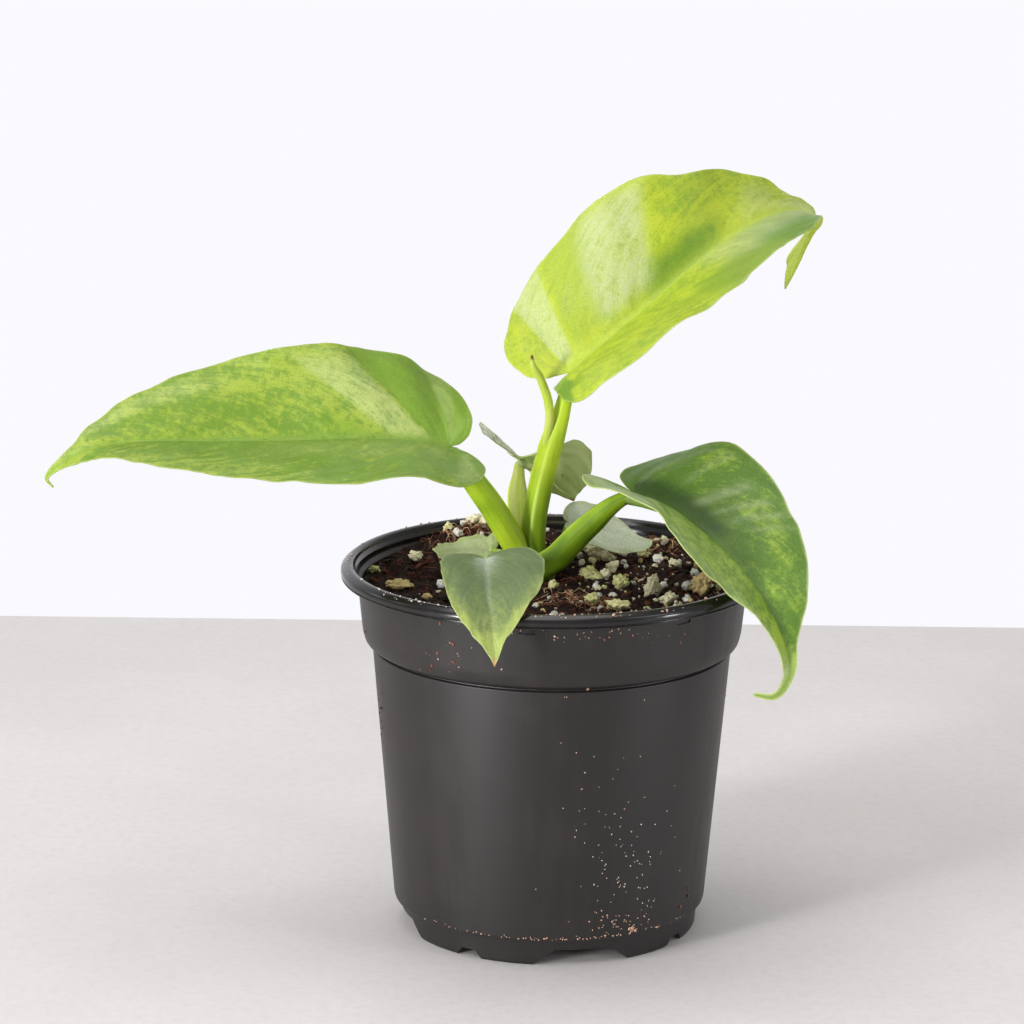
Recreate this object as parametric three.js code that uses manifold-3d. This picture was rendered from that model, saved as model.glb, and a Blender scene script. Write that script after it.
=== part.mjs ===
// A young aroid house plant with folded heart-shaped blades, in a nursery pot filled with potting mix.
// Millimetres, +Z up, +Y to the back. The origin is the middle of the pot's underside, on the ground.
import * as THREE from 'three';
import { mergeVertices } from 'three/addons/utils/BufferGeometryUtils.js';
import Module from 'manifold-3d';

const wasm = await Module();
wasm.setup();

// Clearance between neighbouring pieces that touch on the real plant.
const GAP = 0.3;

// The pot: a thin moulded shell. Radii are outside radii unless they are named inner.
const POT = {
  height: 97.1,
  lipRadius: 55.2,
  lipUnderside: 93.8,
  lipRound: 2,
  lipEdge: 0.6,
  crestRadius: 53,
  rimInnerRadius: 51.7,
  rimInnerTop: 96.1,
  collarTopRadius: 50.9,
  collarFootRadius: 49.4,
  collarFoot: 79.5,
  shoulderRadius: 46.9,
  shoulder: 75.4,
  bodyFootRadius: 41,
  bodyFoot: 6.9,
  footEdge: 0.8,
  wall: 1.2,
  sides: 48,
};

// The foot ring under the pot, with wide gaps over the drain slots and small notches between them, and a
// pad under the middle of the base plate that stands level with the ring.
const FOOT = {
  topRadius: 39.4,
  bottomRadius: 38.8,
  wall: 2,
  repeats: 4,
  firstGap: 13,
  gapAngle: 39,
  gapTopAngle: 22,
  gapHeight: 4.3,
  notchAngle: 11.5,
  notchTopAngle: 6,
  notchHeight: 2.3,
  bottomEdge: 0.5,
  plateUnderside: 3,
  plateTop: 4.2,
  centrePadRadius: 6,
  slotInnerRadius: 31,
  slotOuterRadius: 37.2,
  slotTop: 5.9,
  slotAngle: 20,
};

// The potting mix: its top rises to the back and has a mound of fibre at the back left.
const SOIL = {
  frontLevel: 91.5,
  backRise: 2.6,
  riseFrom: -5,
  riseTo: 45,
  moundHeight: 2.8,
  moundX: -20,
  moundY: 39,
  moundReachX: 10,
  moundReachY: 6.5,
  roughness: 0.35,
  ripples: [[0.31, 0.5, 0], [0.47, -0.29, 2], [0.73, 0.11, 4]],
  rings: 7,
  sides: 36,
};

// Stones, bark and larger perlite that lie at known places: x, y, length, width, height, turn in degrees.
const STONES = [
  [11.8, 23.1, 5, 3.8, 3.6, 20],
  [9, 28, 3.4, 2.8, 2.6, 60],
  [15.2, 19.5, 2.6, 2.2, 2.4, 10],
  [24.2, 23.2, 2.8, 2.4, 2.6, 80],
  [30, 35, 2.2, 2, 2.6, 0],
  [28, 19.6, 2.6, 2.2, 2.4, 45],
  [32, 14.8, 3.2, 2.4, 2.4, 20],
  [9.6, 6.3, 5.2, 3.2, 3, -10],
  [15.7, 11.7, 3.2, 2.6, 2.6, 30],
  [14, 6.5, 2.6, 2.4, 2.4, 70],
  [17.8, -2.4, 4.2, 3.4, 3.2, 15],
  [25.7, -11.6, 3.4, 2.8, 6.4, 30],
  [29.7, -18, 3.8, 3, 2.8, 15],
  [35, -4.7, 2.4, 2, 2.4, 50],
  [38.6, -5.6, 4.8, 4.2, 5.4, -20],
  [37.4, 8.2, 2, 1.8, 2, 0],
  [16.7, -25.4, 5, 3, 2.6, 10],
  [10.2, -19.6, 4.2, 3, 3.2, -40],
  [-40.4, -5.4, 7, 4, 2.4, 12],
  [-36.4, 19.5, 3.6, 2.6, 2.4, -15],
  [-21.4, 44.4, 3.8, 3, 3.4, 25],
  [-18, 42, 4.2, 3, 2.8, -30],
  [-28.2, 38.5, 2.6, 2.2, 2.4, 40],
  [-25.4, 34.5, 2.6, 2, 2, 5],
];

// Small crumbs of perlite strewn over the rest of the mix by seeded draws.
const CRUMBS = {
  seed: 41,
  count: 14,
  smallest: 1.6,
  largest: 2.6,
  slenderness: 1.2,
  innerRadius: 10,
  outerRadius: 46,
};

// The short stem at soil level and its roots.
const CROWN = {
  x: -4,
  y: 7,
  top: 95,
  widest: 90,
  bottom: 66,
  topRadius: 3.4,
  widestRadius: 5.2,
  bottomRadius: 2.6,
  bevel: 1.5,
  roots: [
    [[-5, 6, 82], [-13, -2, 74], [-22, -10, 58], [-25, -15, 40]],
    [[-2, 7, 80], [8, 4, 72], [18, 8, 56], [20, 14, 36]],
    [[-4, 9, 78], [-6, 18, 70], [-3, 27, 54], [2, 29, 34]],
    [[-4, 5, 74], [-2, -6, 62], [4, -16, 44], [3, -20, 26]],
  ],
  rootRadii: [1.3, 1.3, 0.7],
};

const BLADE_THICKNESS = 0.9;

// Each leaf: the midrib's points from the petiole's end to the tip, the way that the upper face looks at
// the midrib's start, and the main veins from the basal lobes to the tip. A vein row holds its place as a
// share of the midrib, its angle from the midrib in degrees, then length and lift in degrees on the left
// half, and length and lift on the right half, as seen from above with the tip ahead. arch bends the veins
// towards the tip. curl turns their outer ends up, or down where it is negative. The petiole is given by
// its points and by radii at its points.
const LEAVES = {
  left_leaf: {
    midrib: [
      [-27.5, -2, 128], [-36, -3, 130], [-50, -4, 130.5], [-68, -5, 130], [-87, -7, 130],
      [-106.5, -9, 130], [-118.5, -11, 128.5], [-126.5, -12, 124.5], [-130, -12, 121], [-128.5, -12, 118.5],
    ],
    facing: [0.05, -0.45, 0.88],
    veins: [
      [0, 155, 4, 38, 3, 30],
      [0, 137, 13, 24, 7, 26],
      [0, 105, 20, 17, 16, 16],
      [0, 74, 25.5, 23, 25, 15],
      [0.08, 62, 29.5, 16, 28.5, 27],
      [0.16, 57, 29.5, 17, 30.5, 40],
      [0.26, 52, 28.5, 18, 31, 40],
      [0.42, 47, 25, 18, 28, 31],
      [0.58, 42, 19, 17, 22, 28],
      [0.74, 40, 11, 15, 12, 22],
      [0.87, 42, 4.2, 0, 4, 18],
      [0.95, 60, 1.3, 0, 1.3, 15],
      [1, 75, 0.3, 0, 0.3, 15],
    ],
    arch: 20,
    curl: -10,
    stepsAcross: 4,
    stepsPerRow: 3,
    petiole: [[-7, 6, 92.5], [-9.5, 5, 99.5], [-12, 3.5, 104.5], [-16, 2, 111.5], [-20, 0.5, 117.5],
      [-24, -1, 123.5], [-27.3, -1.9, 127.6]],
    radii: [3, 3.4, 3.5, 3.4, 3.2, 2.6, 1.7],
    colour: 0x79a63a,
  },
  top_leaf: {
    midrib: [
      [4, 6, 146.5], [11, 8, 152.5], [23.5, 14, 162.5], [38, 22, 174], [52.5, 33, 182],
      [62.5, 42, 183.5], [69, 49, 180], [66, 50, 171], [61.5, 47, 161.5],
    ],
    facing: [-0.45, -0.62, 0.64],
    veins: [
      [0, 155, 6, 34, 7, 42],
      [0, 140, 12.5, 25, 8.5, 28],
      [0, 112, 21, 16, 15.5, 27],
      [0, 82, 30.5, 9, 24, 33],
      [0.08, 68, 34.5, 20, 28, 33],
      [0.22, 58, 36, 34, 28, 23],
      [0.38, 50, 28.5, 33, 23.5, 14],
      [0.55, 44, 21.5, 19, 20, 6],
      [0.7, 38, 12, 12, 10, 6],
      [0.84, 30, 8, 12, 1.8, 6],
      [0.93, 40, 2.9, 6, 1.3, 4],
      [1, 70, 0.5, 0, 0.5, 0],
    ],
    arch: 20,
    curl: -10,
    stepsAcross: 4,
    stepsPerRow: 3,
    petiole: [[-4.5, 8.5, 92.5], [-5, 8, 104], [-3.5, 8, 114.5], [-1, 7.5, 125.5], [1.5, 7, 134],
      [3, 6.5, 140.5], [3.9, 6, 146.1]],
    radii: [2.9, 3.1, 3.1, 3.1, 2.4, 1.9, 1.8],
    colour: 0xa6c83c,
  },
  right_leaf: {
    midrib: [
      [21, -4, 116.5], [30.5, -9, 114], [39.5, -17, 109], [46.5, -23, 104], [53, -30, 96.5],
      [57.5, -35, 89], [60, -39, 81.5], [59, -41, 76.5], [56, -42, 73.5], [51, -42, 74],
    ],
    facing: [-0.2, -0.45, 0.87],
    veins: [
      [0, 158, 3.5, 3, 7, 78],
      [0, 145, 9, -5, 13.5, 58],
      [0, 111, 15, -8, 18.5, 49],
      [0, 84, 21, 0, 19.5, 52],
      [0.1, 68, 27.5, 11, 23, 49],
      [0.25, 58, 24.5, 11, 23, 43],
      [0.42, 50, 19, 11, 15.5, 28],
      [0.58, 44, 12, 17, 10.5, 40],
      [0.74, 44, 3.8, 24, 5.4, 38],
      [0.86, 65, 1.4, 4, 1.6, 8],
      [0.94, 75, 0.9, 0, 0.9, 0],
      [1, 80, 0.5, 0, 0.5, 0],
    ],
    arch: 20,
    curl: -10,
    stepsAcross: 4,
    stepsPerRow: 3,
    petiole: [[-4, 4.5, 92.5], [-2.5, 3, 95.5], [1, 2.5, 98], [4, 1.5, 101.5], [7, 0.5, 105],
      [10.5, -0.5, 108.5], [14.5, -2, 112.5], [18, -3, 115], [20.8, -4, 116.2]],
    radii: [3.3, 3.8, 3.8, 3.6, 3.5, 3.2, 2.5, 1.9, 1.7],
    colour: 0x5f9440,
  },
  heart_leaf: {
    midrib: [
      [-17, -34, 106], [-16.5, -40, 103.5], [-16, -48, 100.5], [-15, -54, 97], [-14.5, -59, 93],
      [-14, -61.5, 89], [-14, -62, 86],
    ],
    facing: [0, -0.3, 0.95],
    veins: [
      [0, 158, 1.5, -4, 1.5, -2],
      [0, 128, 7, 7, 6.5, -2],
      [0, 104, 12.5, 12, 10.5, 4],
      [0, 75, 15.5, 10, 12, 11],
      [0.12, 60, 16, 13, 13, 15],
      [0.35, 50, 13, 11, 12.5, 14],
      [0.58, 43, 8, 12, 9, 12],
      [0.8, 35, 3.5, 11, 4, 12],
      [1, 25, 0, 11, 0, 11],
    ],
    arch: 15,
    curl: -10,
    stepsAcross: 3,
    stepsPerRow: 3,
    petiole: [[-5.5, 3, 93.5], [-7, -2, 96.5], [-11, -15, 101.5], [-14.5, -26, 104.5], [-16.9, -33.6, 105.7]],
    radii: [1.6, 1.5, 1.3, 1.2, 1.1],
    colour: 0x7f9b6a,
  },
  back_leaf: {
    midrib: [[-9, 14, 121.5], [-6.5, 16, 120], [-2.5, 19, 116.5], [1.5, 21, 112], [5.5, 21, 108.5]],
    facing: [0.25, 0.75, 0.55],
    veins: [
      [0, 158, 12.5, 65, 3.5, -6],
      [0, 146, 14.5, 70, 4, -16],
      [0, 132, 6.5, 62, 4.5, -22],
      [0, 108, 4.5, 38, 8.5, -15],
      [0.05, 75, 5.5, 30, 16, 6],
      [0.2, 60, 6.5, 24, 16.5, 14],
      [0.45, 50, 7, 8, 12, 2],
      [0.75, 40, 3, 6, 5.5, -1],
      [1, 30, 0, 2, 0, -2],
    ],
    arch: 15,
    curl: 0,
    stepsAcross: 3,
    stepsPerRow: 3,
    petiole: [[-5.5, 10, 92.5], [-8, 10.5, 99], [-9, 11, 105.5], [-9.5, 12.5, 112], [-9.2, 13.3, 117.5],
      [-9, 13.8, 121.2]],
    radii: [2, 2.6, 2.9, 2.7, 1.6, 1.2],
    colour: 0x93a884,
  },
  small_right_leaf: {
    midrib: [[4, 14, 104.5], [10, 17, 102.5], [15.5, 20, 100.5], [22, 22, 98.5], [26.5, 23, 97.5]],
    facing: [0, -0.5, 0.8],
    veins: [
      [0, 151, 1, 8, 1, -4],
      [0, 115, 2.5, 7, 3, 2],
      [0, 89, 5, 8, 5.5, 2],
      [0.12, 65, 9.5, 10, 8, -2],
      [0.35, 55, 8.5, 11, 9, -5],
      [0.6, 46, 5, 4, 7.5, -5],
      [0.82, 36, 1.5, -2, 4.5, -3],
      [1, 25, 0, -5, 0, 0],
    ],
    arch: 15,
    curl: 0,
    stepsAcross: 3,
    stepsPerRow: 2,
    petiole: [[-2, 10.5, 92.5], [-0.5, 11.5, 98], [1.5, 12.8, 102], [3.9, 13.9, 104.1]],
    radii: [1.5, 1.4, 1.2, 1],
    colour: 0x9cb18c,
  },
  small_left_leaf: {
    midrib: [[-16.5, 12, 97], [-20.5, 12.6, 97.2], [-24.5, 11.6, 96.8], [-30.5, 8, 97.3]],
    facing: [0.1, -0.3, 0.9],
    veins: [
      [0, 150, 1, 10, 1, 15],
      [0, 115, 3, 8, 4, 24],
      [0, 85, 5, 6, 6, 18],
      [0.15, 65, 6, 4, 6.5, 7],
      [0.4, 55, 7, 0, 7, 4],
      [0.65, 46, 6, -4, 5, 4],
      [0.85, 42, 3.5, -4, 3, 2],
      [1, 38, 0, -3, 0, 0],
    ],
    arch: 15,
    curl: -5,
    stepsAcross: 3,
    stepsPerRow: 2,
    petiole: [[-8, 9, 92.5], [-11, 10.3, 95], [-14, 11.4, 96.4], [-16.4, 11.9, 96.7]],
    radii: [1.5, 1.3, 1.1, 1],
    colour: 0x9db06a,
  },
};

// The new leaf, still rolled up, that leaves the side of the tallest petiole's sheath.
const ROLLED_LEAF = {
  path: [[-2.2, 6.6, 126.5], [-1.6, 5.2, 131], [-1.2, 4.2, 135], [-1.6, 3.6, 139], [-2.6, 2.8, 142.5],
    [-4, 2, 146], [-5.5, 1, 149], [-6, 0.5, 151.8]],
  radii: [0.9, 1.1, 1.15, 1.2, 1.15, 1, 0.7, 0.3],
};

// Share of the midrib over which the veins' arch comes in.
const ARCH_START = 0.1;

const SAMPLES = 240;
const FULL_TURN = 2 * Math.PI;
const radians = THREE.MathUtils.degToRad;
const vector = ([x, y, z]) => new THREE.Vector3(x, y, z);

const MATERIALS = {
  pot: new THREE.MeshStandardMaterial({ color: 0x353233, roughness: 0.42, metalness: 0 }),
  soil: new THREE.MeshStandardMaterial({ color: 0x2a1a14, roughness: 0.95, metalness: 0 }),
  crown: new THREE.MeshStandardMaterial({ color: 0x8f9a3c, roughness: 0.6, metalness: 0 }),
  rolled: new THREE.MeshStandardMaterial({ color: 0xb4cf3a, roughness: 0.4, metalness: 0 }),
};

function smoothCurve(points) {
  const curve = new THREE.CatmullRomCurve3(points.map(vector), false, 'catmullrom', 0.5);
  curve.arcLengthDivisions = SAMPLES;
  return curve;
}

// Rows of values read at a share of the way through them. Between rows the values run smoothly and never
// overshoot a row.
function easedRow(rows, share) {
  const place = THREE.MathUtils.clamp(share, 0, 1) * (rows.length - 1);
  const index = Math.min(Math.floor(place), rows.length - 2);
  const part = place - index;
  const slope = (row, column) => {
    if (row === 0) return rows[1][column] - rows[0][column];
    if (row === rows.length - 1) return rows[row][column] - rows[row - 1][column];
    const before = rows[row][column] - rows[row - 1][column];
    const after = rows[row + 1][column] - rows[row][column];
    return before * after > 0 ? (2 * before * after) / (before + after) : 0;
  };
  const fromStart = (1 + 2 * part) * (1 - part) ** 2;
  const fromEnd = part * part * (3 - 2 * part);
  const startSlope = part * (1 - part) ** 2;
  const endSlope = part * part * (part - 1);
  return rows[index].map(
    (value, column) =>
      value * fromStart +
      slope(index, column) * startSlope +
      rows[index + 1][column] * fromEnd +
      slope(index + 1, column) * endSlope,
  );
}

// The upward direction along a curve, carried from its start without twisting.
function carriedUps(curve, facing) {
  const up = vector(facing);
  const ups = [];
  for (let k = 0; k <= SAMPLES; k += 1) {
    const tangent = curve.getTangentAt(k / SAMPLES);
    up.addScaledVector(tangent, -up.dot(tangent)).normalize();
    ups.push(up.clone());
  }
  return ups;
}

// The points of one vein, from the midrib to the margin. side is 1 on the left half and -1 on the right.
function veinPoints(leaf, curve, ups, share, side) {
  const row = easedRow(leaf.veins, share);
  const [at, angle] = row;
  const [length, lift] = side > 0 ? row.slice(2, 4) : row.slice(4, 6);
  const tangent = curve.getTangentAt(at);
  const up = ups[Math.round(at * SAMPLES)].clone();
  up.addScaledVector(tangent, -up.dot(tangent)).normalize();
  const across = new THREE.Vector3().crossVectors(up, tangent).multiplyScalar(side);
  const point = curve.getPointAt(at);
  const points = [point.clone()];
  for (let step = 1; step <= leaf.stepsAcross; step += 1) {
    const out = (step - 0.5) / leaf.stepsAcross;
    const turn = radians(angle - leaf.arch * (out - 0.5) * Math.min(1, at / ARCH_START));
    const rise = radians(lift + leaf.curl * out);
    const stride = length / leaf.stepsAcross;
    point.addScaledVector(tangent, Math.cos(turn) * stride);
    point.addScaledVector(across, Math.sin(turn) * Math.cos(rise) * stride);
    point.addScaledVector(up, Math.sin(turn) * Math.sin(rise) * stride);
    points.push(point.clone());
  }
  return points;
}

// Closed solid from an open surface: a copy of it on each side, and a wall all round its edge.
function thickened(points, faces, thickness) {
  const normals = points.map(() => new THREE.Vector3());
  const edge = new THREE.Vector3();
  const other = new THREE.Vector3();
  for (const [a, b, c] of faces) {
    edge.subVectors(points[b], points[a]);
    other.subVectors(points[c], points[a]);
    const normal = new THREE.Vector3().crossVectors(edge, other);
    for (const corner of [a, b, c]) normals[corner].add(normal);
  }
  const positions = [];
  for (const offset of [thickness / 2, -thickness / 2]) {
    points.forEach((point, k) => {
      const moved = point.clone().addScaledVector(normals[k].clone().normalize(), offset);
      positions.push(moved.x, moved.y, moved.z);
    });
  }
  const count = points.length;
  const open = new Map();
  const index = [];
  for (const [a, b, c] of faces) {
    index.push(a, b, c, a + count, c + count, b + count);
    for (const [from, to] of [[a, b], [b, c], [c, a]]) {
      if (!open.delete(`${to},${from}`)) open.set(`${from},${to}`, [from, to]);
    }
  }
  for (const [from, to] of open.values()) index.push(from, from + count, to, to, from + count, to + count);
  const geometry = new THREE.BufferGeometry();
  geometry.setAttribute('position', new THREE.Float32BufferAttribute(positions, 3));
  geometry.setIndex(index);
  return geometry;
}

// A leaf blade: two half blades that share the midrib. Veins that start at the same point share its vertex.
function bladeGeometry(leaf) {
  const curve = smoothCurve(leaf.midrib);
  const ups = carriedUps(curve, leaf.facing);
  const rowCount = (leaf.veins.length - 1) * leaf.stepsPerRow;
  const points = [];
  const known = new Map();
  const vertex = (point) => {
    const key = point.toArray().map((value) => value.toFixed(4)).join();
    if (!known.has(key)) {
      known.set(key, points.length);
      points.push(point);
    }
    return known.get(key);
  };
  const faces = [];
  const addFace = (a, b, c) => {
    if (a !== b && b !== c && c !== a) faces.push([a, b, c]);
  };
  for (const side of [1, -1]) {
    const grid = [];
    for (let row = 0; row <= rowCount; row += 1) {
      grid.push(veinPoints(leaf, curve, ups, row / rowCount, side).map(vertex));
    }
    for (let row = 0; row < rowCount; row += 1) {
      for (let step = 0; step < leaf.stepsAcross; step += 1) {
        const near = grid[row][step];
        const far = grid[row][step + 1];
        const nextNear = grid[row + 1][step];
        const nextFar = grid[row + 1][step + 1];
        if (side > 0) {
          addFace(near, nextFar, far);
          addFace(near, nextNear, nextFar);
        } else {
          addFace(near, far, nextFar);
          addFace(near, nextFar, nextNear);
        }
      }
    }
  }
  return thickened(points, faces, BLADE_THICKNESS);
}

// A round tube along points, with a radius for each point. extra widens it all over.
function taperedTube(points, radii, { sides = 9, extra = 0, spacing = 4.5 } = {}) {
  const curve = smoothCurve(points);
  const steps = Math.max(radii.length - 1, Math.round(curve.getLength() / spacing));
  const thin = 0.1;
  const section = new THREE.Shape();
  for (let k = 0; k < sides; k += 1) {
    const turn = (k / sides) * FULL_TURN;
    const corner = [thin * Math.cos(turn), thin * Math.sin(turn)];
    if (k === 0) section.moveTo(...corner);
    else section.lineTo(...corner);
  }
  section.closePath();
  const geometry = new THREE.ExtrudeGeometry(section, { extrudePath: curve, steps, bevelEnabled: false });
  const centres = curve.getSpacedPoints(steps);
  const position = geometry.getAttribute('position');
  const point = new THREE.Vector3();
  for (let k = 0; k < position.count; k += 1) {
    point.fromBufferAttribute(position, k);
    let nearest = 0;
    centres.forEach((centre, step) => {
      if (centre.distanceTo(point) < centres[nearest].distanceTo(point)) nearest = step;
    });
    const [radius] = easedRow(radii.map((value) => [value]), nearest / steps);
    point.sub(centres[nearest]);
    point.multiplyScalar((radius + extra) / thin);
    point.add(centres[nearest]);
    position.setXYZ(k, point.x, point.y, point.z);
  }
  return geometry;
}

function solidOf(geometry) {
  const bare = geometry.clone();
  bare.deleteAttribute('normal');
  bare.deleteAttribute('uv');
  const merged = mergeVertices(bare, 1e-4);
  const corners = merged.getIndex().array;
  const kept = [];
  for (let k = 0; k < corners.length; k += 3) {
    const [a, b, c] = corners.slice(k, k + 3);
    if (a !== b && b !== c && c !== a) kept.push(a, b, c);
  }
  const mesh = new wasm.Mesh({
    numProp: 3,
    vertProperties: new Float32Array(merged.getAttribute('position').array),
    triVerts: new Uint32Array(kept),
  });
  return new wasm.Manifold(mesh);
}

// The largest body of a solid, without scraps that a cut has left.
function largest(solid) {
  return solid.decompose().reduce((best, piece) => (piece.volume() > best.volume() ? piece : best));
}

function meshOf(name, solid, material) {
  const { vertProperties, triVerts } = largest(solid).getMesh();
  const geometry = new THREE.BufferGeometry();
  geometry.setAttribute('position', new THREE.BufferAttribute(Float32Array.from(vertProperties), 3));
  geometry.setIndex(new THREE.BufferAttribute(Uint32Array.from(triVerts), 1));
  geometry.computeVertexNormals();
  const mesh = new THREE.Mesh(geometry, material);
  mesh.name = name;
  return mesh;
}

function turnedSolid(profile, sides) {
  const outline = profile.map(([radius, z]) => new THREE.Vector2(radius, z));
  return solidOf(new THREE.LatheGeometry(outline, sides).rotateX(Math.PI / 2));
}

// A ring sector that narrows towards its top, for the gaps and notches of the foot ring.
function footCut(middle, bottomAngle, topAngle, height, innerRadius, outerRadius) {
  const below = -1;
  const last = 4;
  const flare = (bottomAngle - topAngle) / height;
  const levels = [[below, bottomAngle - flare * below], [height, topAngle]];
  const positions = [];
  for (const [z, angle] of levels) {
    for (const radius of [innerRadius, outerRadius]) {
      for (let step = 0; step <= last; step += 1) {
        const turn = radians(middle + angle * (step / last - 0.5));
        positions.push(radius * Math.sin(turn), -radius * Math.cos(turn), z);
      }
    }
  }
  const index = [];
  const quad = (a, b, c, d) => index.push(a, b, c, a, c, d);
  const at = (level, ring, step) => (level * 2 + ring) * (last + 1) + step;
  for (let step = 0; step < last; step += 1) {
    quad(at(0, 0, step), at(0, 0, step + 1), at(0, 1, step + 1), at(0, 1, step));
    quad(at(1, 0, step), at(1, 1, step), at(1, 1, step + 1), at(1, 0, step + 1));
    quad(at(0, 1, step), at(0, 1, step + 1), at(1, 1, step + 1), at(1, 1, step));
    quad(at(0, 0, step), at(1, 0, step), at(1, 0, step + 1), at(0, 0, step + 1));
  }
  quad(at(0, 0, 0), at(0, 1, 0), at(1, 1, 0), at(1, 0, 0));
  quad(at(0, 0, last), at(1, 0, last), at(1, 1, last), at(0, 1, last));
  const geometry = new THREE.BufferGeometry();
  geometry.setAttribute('position', new THREE.Float32BufferAttribute(positions, 3));
  geometry.setIndex(index);
  return solidOf(geometry);
}

// Where the straight inside of the collar ends and the rim opens out, a little above the potting mix.
const soilEdge = POT.lipUnderside - 1.5;

// The inner wall of the pot from the floor to the rim, as radius and height.
function innerWall() {
  const { wall, bodyFoot, bodyFootRadius, shoulder, shoulderRadius } = POT;
  const { collarFoot, collarFootRadius, collarTopRadius, rimInnerRadius, rimInnerTop } = POT;
  const footInner = FOOT.topRadius - FOOT.wall;
  return [
    [footInner, FOOT.plateTop],
    [footInner, bodyFoot + wall],
    [bodyFootRadius - wall, bodyFoot + wall * 1.5],
    [shoulderRadius - wall, shoulder + wall * 0.7],
    [collarFootRadius - wall * 1.4, collarFoot - wall * 0.3],
    [collarFootRadius - wall, collarFoot + wall * 0.7],
    [collarTopRadius - wall, soilEdge],
    [rimInnerRadius, rimInnerTop],
  ];
}

// The rounded step under the collar, from its lower edge to the shoulder.
function collarBevel(upperRadius, upper, lowerRadius, lower) {
  const steps = [[0.14, 0.41], [0.44, 0.73], [0.88, 0.9]];
  return steps.map(([inward, down]) => [
    THREE.MathUtils.lerp(upperRadius, lowerRadius, inward),
    THREE.MathUtils.lerp(upper, lower, down),
  ]);
}

function makePot() {
  const { height, lipRadius, lipUnderside, lipRound, lipEdge, crestRadius } = POT;
  const { collarTopRadius, collarFootRadius, collarFoot, shoulderRadius, shoulder } = POT;
  const { bodyFootRadius, bodyFoot, footEdge } = POT;
  const { topRadius, bottomRadius, bottomEdge, plateUnderside, plateTop, centrePadRadius } = FOOT;
  const footInner = topRadius - FOOT.wall;
  const outside = [
    [crestRadius, height],
    [crestRadius + lipRound * 0.6, height - lipRound * 0.2],
    [lipRadius - lipRound * 0.1, height - lipRound * 0.6],
    [lipRadius, height - lipRound],
    [lipRadius, lipUnderside + lipEdge / 2],
    [lipRadius - lipEdge, lipUnderside],
    [collarTopRadius + lipEdge / 2, lipUnderside],
    [collarTopRadius, lipUnderside - lipEdge],
    [collarFootRadius, collarFoot],
    ...collarBevel(collarFootRadius, collarFoot, shoulderRadius, shoulder),
    [shoulderRadius, shoulder],
    [bodyFootRadius, bodyFoot + footEdge],
    [bodyFootRadius - footEdge / 4, bodyFoot],
    [topRadius, bodyFoot],
    [bottomRadius, bottomEdge],
    [bottomRadius - bottomEdge, 0],
    [footInner, 0],
    [footInner, plateUnderside],
    [centrePadRadius, plateUnderside],
    [centrePadRadius, 0],
    [0, 0],
  ];
  const profile = [[0, plateTop], ...innerWall(), ...outside, [0, plateTop]];
  let pot = turnedSolid(profile.reverse(), POT.sides);
  const cuts = [
    { turn: 0, bottom: FOOT.gapAngle, top: FOOT.gapTopAngle, height: FOOT.gapHeight },
    { turn: 0.5, bottom: FOOT.notchAngle, top: FOOT.notchTopAngle, height: FOOT.notchHeight },
  ];
  const cutInner = footInner - 1;
  const cutOuter = topRadius + 2;
  const { slotAngle, slotTop, slotInnerRadius, slotOuterRadius } = FOOT;
  for (let k = 0; k < FOOT.repeats; k += 1) {
    for (const cut of cuts) {
      const middle = FOOT.firstGap + ((k + cut.turn) * 360) / FOOT.repeats;
      pot = pot.subtract(footCut(middle, cut.bottom, cut.top, cut.height, cutInner, cutOuter));
    }
    const slot = FOOT.firstGap + (k * 360) / FOOT.repeats;
    pot = pot.subtract(footCut(slot, slotAngle, slotAngle, slotTop, slotInnerRadius, slotOuterRadius));
  }
  return pot;
}

// The level of the potting mix at a place.
function soilLevel(x, y) {
  const rise = SOIL.backRise * THREE.MathUtils.smoothstep(y, SOIL.riseFrom, SOIL.riseTo);
  const across = (x - SOIL.moundX) / SOIL.moundReachX;
  const along = (y - SOIL.moundY) / SOIL.moundReachY;
  const mound = SOIL.moundHeight * Math.exp(-0.5 * (across * across + along * along));
  let rough = 0;
  for (const [alongX, alongY, phase] of SOIL.ripples) rough += Math.sin(alongX * x + alongY * y + phase);
  return SOIL.frontLevel + rise + mound + SOIL.roughness * rough;
}

function soilPlug() {
  const wall = innerWall().slice(0, -1);
  const side = wall.map(([r, z], k) => [r - GAP, k === 0 ? z + GAP : z]);
  const [edgeRadius] = side[side.length - 1];
  const profile = [...side].reverse();
  const topRings = [];
  for (let ring = 0; ring < SOIL.rings; ring += 1) {
    topRings.push([(edgeRadius * ring) / SOIL.rings, soilEdge]);
  }
  const outline = [...topRings, ...profile, [0, side[0][1]]].reverse();
  const geometry = new THREE.LatheGeometry(outline.map(([r, z]) => new THREE.Vector2(r, z)), SOIL.sides);
  geometry.rotateX(Math.PI / 2);
  const position = geometry.getAttribute('position');
  for (let k = 0; k < position.count; k += 1) {
    const isTop = Math.abs(position.getZ(k) - soilEdge) < 1e-3;
    if (isTop) position.setZ(k, soilLevel(position.getX(k), position.getY(k)));
  }
  return solidOf(geometry);
}

// Repeatable draws from 0 to 1.
function seededDraws(seed) {
  let state = seed;
  return () => {
    state = (Math.imul(state, 1664525) + 1013904223) >>> 0;
    return state / 2 ** 32;
  };
}

function stone(x, y, length, width, height, turn) {
  const sunk = 0.2;
  const pointedness = 1.15;
  const geometry = new THREE.IcosahedronGeometry(0.5, 0);
  geometry.scale(length, width, height * pointedness);
  geometry.rotateX(radians(turn / 3));
  geometry.rotateZ(radians(turn));
  geometry.translate(x, y, soilLevel(x, y) + height * (0.5 - sunk));
  return solidOf(geometry);
}

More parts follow.
